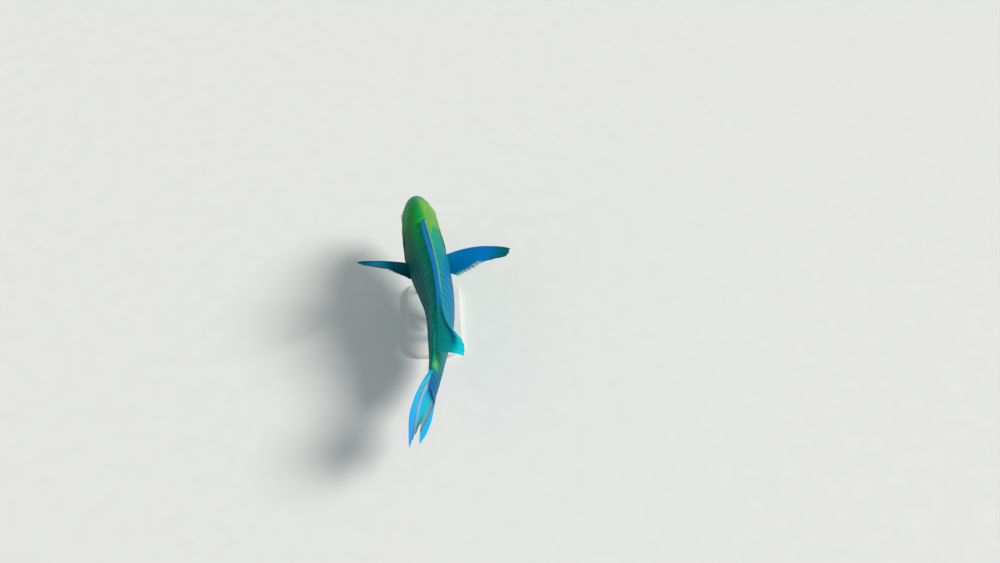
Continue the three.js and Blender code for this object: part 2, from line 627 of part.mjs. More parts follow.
// The finishes, as plain colours.
const finish = (color, roughness = 0.45, metalness = 0) => (
  new THREE.MeshStandardMaterial({ color, roughness, metalness }));
const GREEN_SKIN = finish(0x3f9a4e);
const TEAL_SKIN = finish(0x0f8078);
const BLUE_SKIN = finish(0x0e6aa8);
const BLUE_FIN = finish(0x1668b8, 0.4);
const TAIL_FIN = finish(0x28a8e0, 0.4);
const TOOTH = finish(0xd9e4d2, 0.3);
const EYE_FINISH = finish(0xc98a2e, 0.1);
const BASE_FINISH = finish(0xe8e6e0, 0.5);
const STEEL = finish(0xb8babc, 0.3, 1);

function mesh(name, made, material) {
  const { vertProperties, triVerts } = made.getMesh();
  const geometry = new THREE.BufferGeometry();
  geometry.setAttribute("position", new THREE.BufferAttribute(new Float32Array(vertProperties), 3));
  geometry.setIndex(new THREE.BufferAttribute(new Uint32Array(triVerts), 1));
  const piece = new THREE.Mesh(geometry, material);
  piece.name = name;
  return piece;
}

const fish = new THREE.Group();
fish.add(
  mesh("head", head(), GREEN_SKIN),
  mesh("trunk", trunkSolid(), TEAL_SKIN),
  mesh("tail_stock", stockSolid(), BLUE_SKIN),
  mesh("beak_upper", beakPlate(true), TOOTH),
  mesh("beak_lower", beakPlate(false), TOOTH),
  mesh("dorsal_fin", fin(DORSAL, dorsalPlace, [grownHead, grownTrunk, grownStock]), BLUE_FIN),
  mesh("anal_fin", fin(ANAL, analPlace, [grownTrunk, grownStock]), BLUE_FIN),
  mesh("caudal_fin", fin(CAUDAL, caudalPlace, [grownStock], STOUT_ROOT_THICKNESS, true), TAIL_FIN),
);
for (const [side, word] of [[1, "left"], [-1, "right"]]) {
  const pectoral = fin(PECTORAL, pectoralPlace(side), [grownHead, grownTrunk], STOUT_ROOT_THICKNESS);
  fish.add(
    mesh(`eye_${word}`, eyeSolid(side), EYE_FINISH),
    mesh(`pectoral_fin_${word}`, pectoral, BLUE_FIN),
    mesh(`pelvic_fin_${word}`, fin(PELVIC, pelvicPlace(side), [grownTrunk]), BLUE_FIN),
  );
}
fish.add(mesh("stand_base", baseSolid(), BASE_FINISH));
for (const [i, word] of ["front", "rear"].entries()) {
  fish.add(mesh(`stand_rod_${word}`, rodSolid(ROD.places[i]), STEEL));
}

export default fish;
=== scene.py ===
# %% [markdown]
# # A parrotfish on its display stand
# The fish was first made as plain solids, which are the frame of this scene: every piece built here
# sits where a solid says. We load the frame and then dress it, from the skin outwards: skin, scales,
# fins, beak, eyes, nostrils, and last the stand and the light.

import math

import bpy
import numpy as np
from mathutils import Matrix


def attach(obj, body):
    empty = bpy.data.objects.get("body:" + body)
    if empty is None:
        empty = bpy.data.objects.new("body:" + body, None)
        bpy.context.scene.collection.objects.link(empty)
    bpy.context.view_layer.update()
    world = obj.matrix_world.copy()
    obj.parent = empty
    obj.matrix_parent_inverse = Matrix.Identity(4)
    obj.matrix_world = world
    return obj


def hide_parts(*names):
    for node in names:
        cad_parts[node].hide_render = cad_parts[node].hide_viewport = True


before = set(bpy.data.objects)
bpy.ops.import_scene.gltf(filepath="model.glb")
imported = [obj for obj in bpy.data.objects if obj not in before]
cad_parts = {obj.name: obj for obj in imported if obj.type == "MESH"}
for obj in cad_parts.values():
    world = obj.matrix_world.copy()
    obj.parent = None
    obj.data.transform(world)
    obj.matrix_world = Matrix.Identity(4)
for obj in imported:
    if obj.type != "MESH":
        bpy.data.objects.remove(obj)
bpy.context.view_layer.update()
print("solids in the frame:", ", ".join(sorted(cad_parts)))

# %% [markdown]
# ## The fish's measurements
# A fish is easiest to describe straight, as a side view and a row of cross-sections, and to bend
# afterwards. So every place on it is given as `a`, the distance from the beak's tip, `x`, the distance
# to the fish's left, and `z`, the level above the mouth, all as shares of the body's length. The
# numbers are the ones that the solids were made from.

# %% Body outline and sections
LENGTH = 0.5
MM = 0.001
AXIS_HEIGHT = 0.112
MIDDLE = 0.34


def through(stations):
    """A smooth curve through stations (x, y) that doesn't overshoot between them."""
    x, y = np.array(stations, float).T
    step = np.diff(y) / np.diff(x)
    product = step[:-1] * step[1:]
    total = np.where(product > 0, step[:-1] + step[1:], 1)
    slope = np.concatenate([step[:1], np.where(product > 0, 2 * product / total, 0), step[-1:]])

    def curve(at):
        at = np.clip(at, x[0], x[-1])
        i = np.clip(np.searchsorted(x, at, side="right") - 1, 0, len(x) - 2)
        span = x[i + 1] - x[i]
        t = (at - x[i]) / span
        u = 1 - t
        ends = y[i] * (1 + 2 * t) * u * u + y[i + 1] * (3 - 2 * t) * t * t
        return ends + span * (slope[i] * t * u * u - slope[i + 1] * t * t * u)

    return curve


BACK = through([
    (0.016, 0.028), (0.025, 0.042), (0.045, 0.069), (0.075, 0.095), (0.11, 0.118), (0.16, 0.138),
    (0.22, 0.152), (0.28, 0.159), (0.34, 0.16), (0.42, 0.153), (0.5, 0.138), (0.58, 0.117),
    (0.66, 0.094), (0.72, 0.079), (0.77, 0.0725), (0.81, 0.071), (0.85, 0.066),
])
BELLY = through([
    (0.016, -0.025), (0.025, -0.033), (0.05, -0.052), (0.1, -0.08), (0.16, -0.104), (0.23, -0.122),
    (0.3, -0.13), (0.38, -0.129), (0.46, -0.118), (0.54, -0.097), (0.62, -0.069), (0.69, -0.044),
    (0.74, -0.0335), (0.81, -0.031), (0.85, -0.027),
])
HALF_WIDTH = through([
    (0.016, 0.025), (0.025, 0.031), (0.05, 0.0405), (0.1, 0.0522), (0.15, 0.059), (0.22, 0.0645),
    (0.3, 0.0645), (0.38, 0.058), (0.46, 0.0485), (0.54, 0.039), (0.62, 0.0295), (0.69, 0.021),
    (0.75, 0.0155), (0.785, 0.0115), (0.81, 0.0068), (0.83, 0.0052), (0.85, 0.0044),
])
WIDEST_LEVEL = through([(0, 0), (0.1, 0.012), (0.3, 0.018), (0.5, 0.02), (0.85, 0.02)])
BACK_FULLNESS = 1.9
BELLY_FULLNESS = 2.15
SNOUT = {"start": 0.016, "rounding": 0.022, "round": 0.55, "bluntness": 0.25}
TRUNK_END = 0.66
STOCK_END = 0.805
GILL_EDGE = {"back": 0.262, "level": -0.01, "above": 0.055, "below": 0.11, "reach": 0.12}
print("body length", LENGTH, "m, depth at its middle", round(float(BACK(MIDDLE) - BELLY(MIDDLE)), 3), "of it")

# %% [markdown]
# ## The pose
# The photograph catches the fish in a turn, so its axis is a curve on the plan. We walk along it in
# short steps, each in the direction that the heading gives. `posed` then carries any place of the
# straight fish into the bent one, which is how a sculptor's armature works too: bend the wire, and the
# clay goes along.

# %% Bend the axis
HEADING = through([
    (0, 4), (0.1, 6), (0.2, 7), (0.28, 10.5), (0.36, 11.5), (0.45, 6), (0.52, -0.5), (0.58, -6),
    (0.66, -5.6), (0.74, -10.5), (0.83, -15.8), (0.9, -14.1), (1.1, -1.9),
])
ROLL = through([
    (0, 0), (0.1, -0.2), (0.2, -1.6), (0.32, -4), (0.5, -4.2), (0.72, -4.5), (0.8, -6.8), (0.88, -12.5),
    (1.05, -15.6),
])
AXIS_STEP = 0.005
AXIS_END = 1.15

walk = np.radians(HEADING(np.arange(0, AXIS_END, AXIS_STEP) + AXIS_STEP / 2))
AXIS = np.zeros((len(walk) + 1, 2))
AXIS[1:, 0] = np.cumsum(-np.sin(walk)) * AXIS_STEP
AXIS[1:, 1] = np.cumsum(np.cos(walk)) * AXIS_STEP


def axis_point(a):
    """The place on the plan of a distance along the bent axis, both as shares of the length."""
    i = np.clip(np.floor(a / AXIS_STEP).astype(int), 0, len(AXIS) - 2)
    share = (a / AXIS_STEP - i)[..., None]
    return AXIS[i] * (1 - share) + AXIS[i + 1] * share


def posed(a, x, z):
    """Places of the straight fish, as points of the bent one in metres."""
    a, x, z = np.broadcast_arrays(*(np.asarray(value, float) for value in (a, x, z)))
    centre = axis_point(a) - axis_point(np.array(MIDDLE))
    heading = np.radians(HEADING(a))
    roll = np.radians(ROLL(a))
    sideways = x * np.cos(roll) - z * np.sin(roll)
    upwards = x * np.sin(roll) + z * np.cos(roll)
    return np.stack([
        (centre[..., 0] + sideways * np.cos(heading)) * LENGTH,
        (centre[..., 1] + sideways * np.sin(heading)) * LENGTH,
        upwards * LENGTH + AXIS_HEIGHT,
    ], axis=-1)


print("beak's tip at", posed(0, 0, 0).round(3), "m, tail's tip at", posed(1, 0, 0.03).round(3), "m")

# %% [markdown]
# ## Helpers for making meshes
# Most pieces here are grids of points with a face between every four. numpy works out all the points
# at once, and `foreach_set` hands them to the mesh in one go, which is far quicker than adding faces one
# by one. A piece also carries named attributes: what a vertex knows about its place on the fish, for
# the finish to read later.

# %% Mesh helpers
def mix(start, end, share):
    return start + (end - start) * share


def ease(value, low, high):
    """0 below low, 1 above high, and smooth between, like the Map Range node's smooth step."""
    t = np.clip((np.asarray(value, float) - low) / (high - low), 0, 1)
    return t * t * (3 - 2 * t)


def bell(value, centre, width):
    return np.exp(-(((value - centre) / width) ** 2))


def unit(vectors):
    return vectors / np.maximum(np.linalg.norm(vectors, axis=-1, keepdims=True), 1e-12)


def triples(*parts):
    """Three numbers for each point, from arrays that broadcast together."""
    return np.stack(np.broadcast_arrays(*parts), axis=-1).reshape(-1, 3)


def grid_faces(rows, columns, closed=False):
    """The faces of a grid of points, row by row. A closed grid joins its last column to its first."""
    r = np.arange(rows - 1)[:, None]
    c = np.arange(columns if closed else columns - 1)[None, :]
    after = (c + 1) % columns
    corners = (r * columns + c, r * columns + after, (r + 1) * columns + after, (r + 1) * columns + c)
    return np.stack(np.broadcast_arrays(*corners), axis=-1).reshape(-1, 4)


def end_faces(count):
    """Closes a ring of an even number of points, starting at its top, by strips from side to side."""
    i = np.arange(1, count // 2 - 1)
    strips = np.stack([i, i + 1, count - i - 1, count - i], axis=-1)
    tips = np.array([[0, 1, count - 1, 0], [count // 2 - 1, count // 2, count // 2 + 1, count // 2 - 1]])
    return np.concatenate([strips, tips])


def loft_faces(rings, around):
    """A closed tube of rings of points, shut at both ends."""
    cap = end_faces(around)
    last = cap + (rings - 1) * around
    return np.concatenate([grid_faces(rings, around, closed=True), cap[:, ::-1], last])


def shell_faces(rows, columns):
    """A thin closed shell: one sheet of points, the same sheet again behind it, and the rim between."""
    size = rows * columns
    sheet = grid_faces(rows, columns)
    rim = np.concatenate([
        np.arange(columns), np.arange(1, rows) * columns + columns - 1,
        size - 1 - np.arange(1, columns), np.arange(rows - 2, 0, -1) * columns,
    ])
    after = np.roll(rim, -1)
    walls = np.stack([rim, rim + size, after + size, after], axis=-1)
    return np.concatenate([sheet[:, ::-1], sheet + size, walls])


def both_sheets(values, shells=1):
    """Gives the values of a sheet's points to the sheet behind it too, in one shell or in many."""
    doubled = {}
    for key, part in values.items():
        one = np.reshape(part, (shells, -1) + np.shape(part)[1:])
        doubled[key] = np.concatenate([one, one], axis=1).reshape((-1,) + np.shape(part)[1:])
    return doubled


def make_piece(name, points, faces, material, values=None, uv=None, replaces=()):
    """A piece on the fish's body from points and faces of four corners, or of three where the first
    corner comes twice, turned so that they face outwards. values holds its named attributes, and uv
    its map, both a vertex each."""
    p, q, r, s = (points[faces[:, k]] - points[0] for k in range(4))
    volume = np.sum(p * np.cross(q, r)) + np.sum(p * np.cross(r, s))
    faces = faces if volume > 0 else faces[:, ::-1]
    three = faces[:, 0] == faces[:, 3]
    corners = np.concatenate([faces[~three].ravel(), faces[three][:, :3].ravel()])
    sizes = np.concatenate([np.full((~three).sum(), 4), np.full(three.sum(), 3)])
    mesh = bpy.data.meshes.new(name)
    mesh.vertices.add(len(points))
    mesh.vertices.foreach_set("co", np.asarray(points, np.float32).ravel())
    mesh.loops.add(len(corners))
    mesh.loops.foreach_set("vertex_index", corners.astype(np.int32))
    mesh.polygons.add(len(sizes))
    starts = np.concatenate([[0], np.cumsum(sizes)[:-1]])
    mesh.polygons.foreach_set("loop_start", starts.astype(np.int32))
    mesh.update(calc_edges=True)
    mesh.shade_smooth()
    for key, value in (values or {}).items():
        wide = np.ndim(value) > 1
        layer = mesh.attributes.new(key, "FLOAT_VECTOR" if wide else "FLOAT", "POINT")
        layer.data.foreach_set("vector" if wide else "value", np.asarray(value, np.float32).ravel())
    if uv is not None:
        layer = mesh.uv_layers.new(name="OFBake")
        layer.data.foreach_set("uv", np.asarray(uv, np.float32)[corners].ravel())
    piece = bpy.data.objects.new(name, mesh)
    bpy.context.scene.collection.objects.link(piece)
    mesh.materials.append(material)
    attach(piece, "root")
    if replaces:
        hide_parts(*replaces)
    print(f"{name}: {len(points)} points, {int((sizes - 2).sum())} triangles")


print("a shell of 3 by 3 points has", len(shell_faces(3, 3)), "faces")

# %% [markdown]
# ## Shader sums as plain Python
# A finish is a graph of small shader nodes, and a colour that changes over a fish takes dozens of
# them. Wiring those by hand is slow to read. `Wire` wraps one output of a node and answers to +, - and
# * by adding the Math node that does the sum, so a pattern reads like the formula that it is. Colours
# and directions don't go through Math nodes, which would turn them grey: they have Mix and Vector Math.

# %% The Wire class and the Finish that holds it
class Wire:
    """One output socket. Sums on values add Math nodes."""

    def __init__(self, finish, socket):
        self.finish = finish
        self.socket = socket

    def sum(self, operation, *others):
        values = dict(enumerate((self, *others)))
        return self.finish.node("Math", {"operation": operation}, values)

    def __add__(self, other):
        return self.sum("ADD", other)

    def __sub__(self, other):
        return self.sum("SUBTRACT", other)

    def __mul__(self, other):
        return self.sum("MULTIPLY", other)

    def __rsub__(self, other):
        return self.finish.node("Math", {"operation": "SUBTRACT"}, {0: other, 1: self})

    __radd__ = __add__

    def eased(self, low, high):
        """0 up to low, 1 from high on, smooth between. With low above high it falls instead."""
        limits = {"Value": self, "From Min": low, "From Max": high}
        return self.finish.node("MapRange", {"interpolation_type": "SMOOTHSTEP"}, limits)

    def bell(self, centre, width):
        """1 at the centre and falling off smoothly to either side."""
        off = (self - centre) * (1 / width)
        return (off * off * -1).sum("EXPONENT")

    def wave(self, lines):
        """Goes smoothly from 0 to 1 and back, so many times for each unit of the value."""
        return (self * (2 * math.pi * lines)).sum("COSINE") * -0.5 + 0.5


class Finish:
    """One material, made node by node."""

    def __init__(self, name):
        self.material = bpy.data.materials.new(name)
        self.material.use_nodes = True
        self.tree = self.material.node_tree
        self.tree.nodes.clear()

    def node(self, kind, settings=None, inputs=None, out=0):
        """Adds a node, sets its settings first, then gives its sockets values or wires."""
        made = self.tree.nodes.new("ShaderNode" + kind)
        for key, value in (settings or {}).items():
            setattr(made, key, value)
        for key, value in (inputs or {}).items():
            if isinstance(value, Wire):
                self.tree.links.new(value.socket, made.inputs[key])
            else:
                made.inputs[key].default_value = value
        return Wire(self, made.outputs[out]) if made.outputs else None

    def known(self, attribute, part=None):
        """What the mesh knows at each vertex: a single value, or part 0, 1 or 2 of three."""
        if part is None:
            return self.node("Attribute", {"attribute_name": attribute}, out="Fac")
        whole = self.node("Attribute", {"attribute_name": attribute}, out="Vector")
        return self.node("SeparateXYZ", {}, {0: whole}, out=part)

    def noise(self, scale, detail=3, roughness=0.55, where=None):
        where = where or self.node("TexCoord", out="Object")
        sockets = {"Vector": where, "Scale": scale, "Detail": detail, "Roughness": roughness}
        return self.node("TexNoise", {}, sockets)

    def blend(self, under, over, mask):
        """Lays one colour over another where the mask is 1."""
        return self.node("Mix", {"data_type": "RGBA"}, {"Factor": mask, 6: under, 7: over}, out=2)

    def bump(self, height, depth, strength):
        return self.node("Bump", {}, {"Height": height, "Distance": depth, "Strength": strength})

    def surface(self, **sockets):
        """Ends the finish with one Principled shader, its sockets named in lower case."""
        inputs = {}
        for key, value in sockets.items():
            inputs[key.replace("_", " ").title().replace("Ior", "IOR")] = value
        shader = self.node("BsdfPrincipled", {}, inputs)
        self.node("OutputMaterial", {}, {"Surface": shader})
        print(self.material.name, "has", len(self.tree.nodes), "nodes")


def ink(red, green, blue):
    """A colour as a picture program gives it, 0 to 255, as the light values that a shader works in."""
    share = np.array([red, green, blue]) / 255
    linear = np.where(share <= 0.04045, share / 12.92, ((share + 0.055) / 1.055) ** 2.4)
    return (*(float(value) for value in linear), 1.0)


print("white as light values:", ink(255, 255, 255))

# %% [markdown]
# ## Sections of the body
# A cross-section of a fish is an ellipse that is a little fuller below. `section` gives its points for
# an angle that runs from the back over the fish's left side to the belly and on, and the direction in
# which the flesh faces there, so that a scale, a fold or a rim can be raised from it by so many
# millimetres.

# %% Sections, flank and gill edge
def section(a, angle, grow=0.0):
    """Points (x, z) of the section at a, grown outwards by so many millimetres."""
    forward = np.clip((a - SNOUT["start"]) / SNOUT["rounding"], 0, 1)
    ball = np.sqrt(1 - (1 - forward) ** 2)
    rounding = mix(forward ** SNOUT["bluntness"], ball, SNOUT["round"])
    level = WIDEST_LEVEL(a)
    up, side = np.cos(angle), np.sin(angle)
    height = np.abs(np.where(up > 0, BACK(a), BELLY(a)) - level) * rounding
    width = HALF_WIDTH(a) * rounding
    power = 2 / np.where(up > 0, BACK_FULLNESS, BELLY_FULLNESS)
    x = width * np.sign(side) * np.abs(side) ** power
    z = height * np.sign(up) * np.abs(up) ** power
    facing = np.stack([x / (width * width + 1e-9), z / (height * height + 1e-9)], axis=-1)
    facing = unit(facing) * (np.asarray(grow) * MM / LENGTH)[..., None]
    return x + facing[..., 0], level + z + facing[..., 1]


def flank(a, z):
    """How far the side stands out from the middle plane at a place and a level."""
    level = WIDEST_LEVEL(a)
    half = np.abs(np.where(z > level, BACK(a), BELLY(a)) - level)
    fullness = np.where(z > level, BACK_FULLNESS, BELLY_FULLNESS)
    share = np.clip(np.abs(z - level) / half, 0, 1)
    return HALF_WIDTH(a) * (1 - share ** fullness) ** (1 / fullness)


def gill_edge(z):
    """Where the gill cover's rear edge lies at each level."""
    bend = np.where(z > GILL_EDGE["level"], GILL_EDGE["above"], GILL_EDGE["below"])
    return GILL_EDGE["back"] - bend * ((z - GILL_EDGE["level"]) / GILL_EDGE["reach"]) ** 2


SPOT_REACH = 0.004


def on_flank(a, z, side, lift=0.0):
    """A spot on one side: a matrix whose third axis looks outwards, and the spot, lifted along it."""
    def at(da, dz):
        return posed(a + da, side * flank(np.array(a + da), np.array(z + dz)), z + dz)

    along = unit(at(SPOT_REACH, 0) - at(-SPOT_REACH, 0))
    up = unit(at(0, SPOT_REACH) - at(0, -SPOT_REACH))
    outward = unit(np.cross(along, up) * -side)
    if outward @ (posed(a, side, z) - posed(a, 0, z)) < 0:
        outward = -outward
    across = unit(np.cross(up, outward))
    return np.stack([across, np.cross(outward, across), outward], axis=1), at(0, 0) + outward * lift


EYE = {"at": 0.118, "level": 0.056, "radius": 0.0215, "showing": 0.0068}
SIDES = {"left": 1, "right": -1}
eye_spots = {word: on_flank(EYE["at"], EYE["level"], side)[1] for word, side in SIDES.items()}
print("eyes", {word: spot.round(3).tolist() for word, spot in eye_spots.items()})

# %% [markdown]
# ## The skin
# On the real fish one skin runs without a seam from the lips to the root of the tail. A loft of rings
# gives that. What makes it a head and not a cone is where the rings go: the first ones curl out of the
# mouth and over the lips, the next ones crowd together towards the gill cover's rear edge and follow
# it, and there the surface folds under itself, because a gill cover is a loose flap over the trunk.

# %% The rings of the lips and the face
BEAK = {
    "at": 0.034, "length": 0.034, "width": 0.0205, "upper": 0.0225, "lower": 0.0195,
    "bluntness": 0.72, "root": 0.004,
}
LIP = {
    "at": 0.018, "thickness": 0.0056, "thinning": 0.225, "swept": 0.0144, "height": 0.93, "width": 0.98,
    "corner": 0.054, "flatness": 1.25,
}
MOUTH = {"level": -0.0015, "corner": 0.047}
MOUTH_RINGS = ((0.016, 0.6), (0.008, 0.9))
LIP_TURNS = (-75, -45, -15, 15, 45, 75, 100)
FACE_SHARES = (0.16, 0.3, 0.48, 0.72, 1.0)
FACE_START = 0.0035
FACE_END = 0.05
LIP_DIP = {"depth": 0.0012, "at": 0.16, "width": 0.1, "across": 0.03}
AROUND = 288
FACE_STEPS = 3

angles = np.arange(AROUND) / AROUND * 2 * math.pi


def face_rings():
    """Rings from inside the mouth over the lips to FACE_END, each with a column for every angle. The
    few that are given are joined by a smooth curve through each column, FACE_STEPS rings apart."""
    upper = np.cos(angles) > 0
    corner = 1 - np.abs(np.cos(angles))
    lip_a = LIP["at"] + LIP["swept"] * corner
    lip_x = BEAK["width"] * LIP["width"] * np.sin(angles) * (1 + LIP["corner"] * corner)
    lip_z = np.where(upper, BEAK["upper"], BEAK["lower"]) * LIP["height"] * np.cos(angles)
    round_ = LIP["thickness"] * (1 - LIP["thinning"] * corner)
    rings = []
    for back, inset in MOUTH_RINGS:
        hold = 1 - inset * round_ / np.hypot(lip_x, lip_z)
        rings.append((lip_a + back, lip_x * hold, lip_z * hold))
    for turn in np.radians(LIP_TURNS):
        out = np.sin(turn) * round_
        fore = lip_a - np.cos(turn) * round_ * LIP["flatness"]
        rings.append((fore, lip_x + np.sin(angles) * out, lip_z + np.cos(angles) * out))
    for share in FACE_SHARES:
        a = mix(lip_a + FACE_START, FACE_END, share)
        x, z = section(a, angles)
        dip = LIP_DIP["depth"] * bell(share, LIP_DIP["at"], LIP_DIP["width"])
        rings.append((a, x * (1 - dip / LIP_DIP["across"]), z - np.cos(angles) * dip))
    nodes = np.array([[np.broadcast_to(part, angles.shape) for part in ring] for ring in rings])
    nodes = np.concatenate([nodes[:1], nodes, nodes[-1:]])
    smooth = []
    for k in range(len(nodes) - 3):
        before, start, end, after = nodes[k : k + 4]
        for t in np.arange(FACE_STEPS) / FACE_STEPS:
            bend = (2 * before - 5 * start + 4 * end - after) * t * t
            twist = (3 * start - before - 3 * end + after) * t ** 3
            smooth.append(start + 0.5 * ((end - before) * t + bend + twist))
    return np.array(smooth)


face = face_rings()
print(len(face), "rings curl over the lips")

# %% [markdown]
# The rings behind the face are planned by where they lie along the body. Those on the head stretch from
# the face to the gill edge, which bends, so a ring's place depends on its points' levels and those on
# its place. Working the two out in turn a dozen times settles it. The flap's fold is a short list of
# steps: out over the edge, round it, and forward again underneath.

# %% The rings of head, flap, trunk and tail stock
GILL_STEP = 1.6
GILL_FADE = (0.055, 0.12)
HEAD_RINGS = 150
TRUNK_RINGS = 70
STOCK_RINGS = 34
RING_PASSES = 12
FLAP = ((0.0, 1.0), (0.0014, 0.93), (0.002, 0.62), (0.0012, 0.3), (-0.004, 0.05), (-0.009, -0.2))
FLAP_GAP = 0.0012
TRUNK_START = -0.004
TRUNK_CROWDING = 1.1
UNDER_FLAP = {"depth": 0.5, "fades": 0.06}
SWELL_START = -0.03


def settled(place, grow):
    """Rings whose place along the body depends on the level: rows of (a, x, z)."""
    z = np.zeros(AROUND)
    for _ in range(RING_PASSES):
        a = place(z)
        x, z = section(a, angles, grow(z))
    return a, x, z


def gill_share(z):
    """1 where the gill cover stands free, fading to 0 above it."""
    return 1 - ease(z, *GILL_FADE)


def gill_swell(a, z):
    """How far the gill cover stands proud, in millimetres, most at its rear edge."""
    return GILL_STEP * gill_share(z) * ease(a - gill_edge(z), SWELL_START, 0)


def behind_flap(z):
    """Where the trunk's rings start, under the free edge or behind the fold's last ring."""
    return gill_edge(z) + mix(FLAP_GAP * len(FLAP), TRUNK_START, gill_share(z))


def under_flap(z, share):
    """How far the trunk dips where the gill cover lies on it, in millimetres."""
    return -GILL_STEP * UNDER_FLAP["depth"] * gill_share(z) * (1 - ease(share, 0, UNDER_FLAP["fades"]))


def shares(count):
    """Even shares above 0, up to 1."""
    return np.linspace(0, 1, count + 1)[1:]


body = []
for s in shares(HEAD_RINGS)[:-1]:
    body.append(settled(
        lambda z: mix(FACE_END, gill_edge(z), s),
        lambda z: gill_swell(mix(FACE_END, gill_edge(z), s), z)))
flap_start = len(face) + len(body)
for step, (back, out) in enumerate(FLAP):
    body.append(settled(
        lambda z: gill_edge(z) + mix(FLAP_GAP * step, back, gill_share(z)),
        lambda z: GILL_STEP * out * gill_share(z)))
trunk_start = len(face) + len(body)
for s in shares(TRUNK_RINGS):
    body.append(settled(
        lambda z: mix(behind_flap(z), TRUNK_END, s ** TRUNK_CROWDING),
        lambda z: under_flap(z, s)))
for s in shares(STOCK_RINGS):
    body.append(settled(lambda z: mix(TRUNK_END, STOCK_END, s) + 0 * z, lambda z: 0 * z))
rings = np.concatenate([face, np.array(body)])
print(len(rings), "rings of", AROUND, "points")

# %% [markdown]
# ## Relief of the head
# Folds, rims and grooves are raised from that loft by moving its points in or out by fractions of a
# millimetre, which is what a taxidermist does with modelling paste over a cast. Each form is a small
# formula of the distance to something: to the eye, to the cheek's line, to the mouth's corner. `relief`
# takes any place on the fish, so that the scales can ask for the same forms later.

# %% Relief in millimetres
COAT_DEPTH = 0.66
ORBIT = {"rim": 8.6, "width": 1.5, "height": 1.5, "socket": 7.2, "wall": 1.2, "depth": 6}
BROW = {"at": 12.5, "width": 2.4, "height": 0.5}
NOSTRILS = ((0.08, 0.066, 0.0034, 0.0014), (0.092, 0.0715, 0.0042, 0.0012))
NOSTRIL = {"depth": 2.2, "floor": 0.45, "brink": 0.95, "rim": 0.45, "width": 1.1}
CHEEK_LINE = through([(-0.068, 0.128), (-0.046, 0.156), (-0.012, 0.168), (0.03, 0.166), (0.066, 0.150)])
CHEEK = {"groove": 1.1, "width": 1.3, "swell": 0.7, "before": -4.5, "reach": 4}
MOUTH_CORNER = {"depth": 2.0, "width": 0.75, "end": 0.055}
LIP_FOLD = {"depth": 0.45, "at": 0.055, "slant": 0.62, "width": 0.0022, "reach": 0.022}
JAW = {"height": 0.9, "at": 0.1, "length": 0.03, "level": -0.03, "reach": 0.02}
CHIN = {"depth": 0.8, "at": 0.062, "length": 0.01, "level": -0.055, "reach": 0.02}
THROAT = {"rises": (0.008, 0.017, 0.027), "width": 0.0016, "depth": 0.4}
PORE = {"depth": 0.4, "width": 0.8}
PORES = [(0.052, -0.028), (0.064, -0.036), (0.078, -0.043), (0.093, -0.049), (0.109, -0.054)]
PORE_RING = 0.027
for t in np.radians([-15, 15, 45, 75, 105]):
    PORES.append((EYE["at"] - PORE_RING * math.cos(t), EYE["level"] - PORE_RING * math.sin(t)))


def in_mm(share):
    """A share of the fish's length, in millimetres."""
    return share * LENGTH / MM


def near(points, spot):
    """How far points are from a spot, in millimetres."""
    return np.linalg.norm(points - spot, axis=-1) / MM


def scaled_share(a, z):
    """1 where scales grow, 0 on the bare snout, lips and chin and around the eye."""
    cheek = ease(a, 0.088, 0.112) * (1 - ease(z, 0.012, 0.03))
    behind_eye = ease(a, 0.146, 0.166)
    nape = ease(a - 0.6 * (z - 0.07), 0.138, 0.163) * ease(z, 0.05, 0.075)
    throat = 1 - ease(-z - 0.55 * a, -0.02, 0.02) * (1 - ease(a, 0.16, 0.2))
    return np.maximum(np.maximum(cheek * throat, behind_eye), nape)


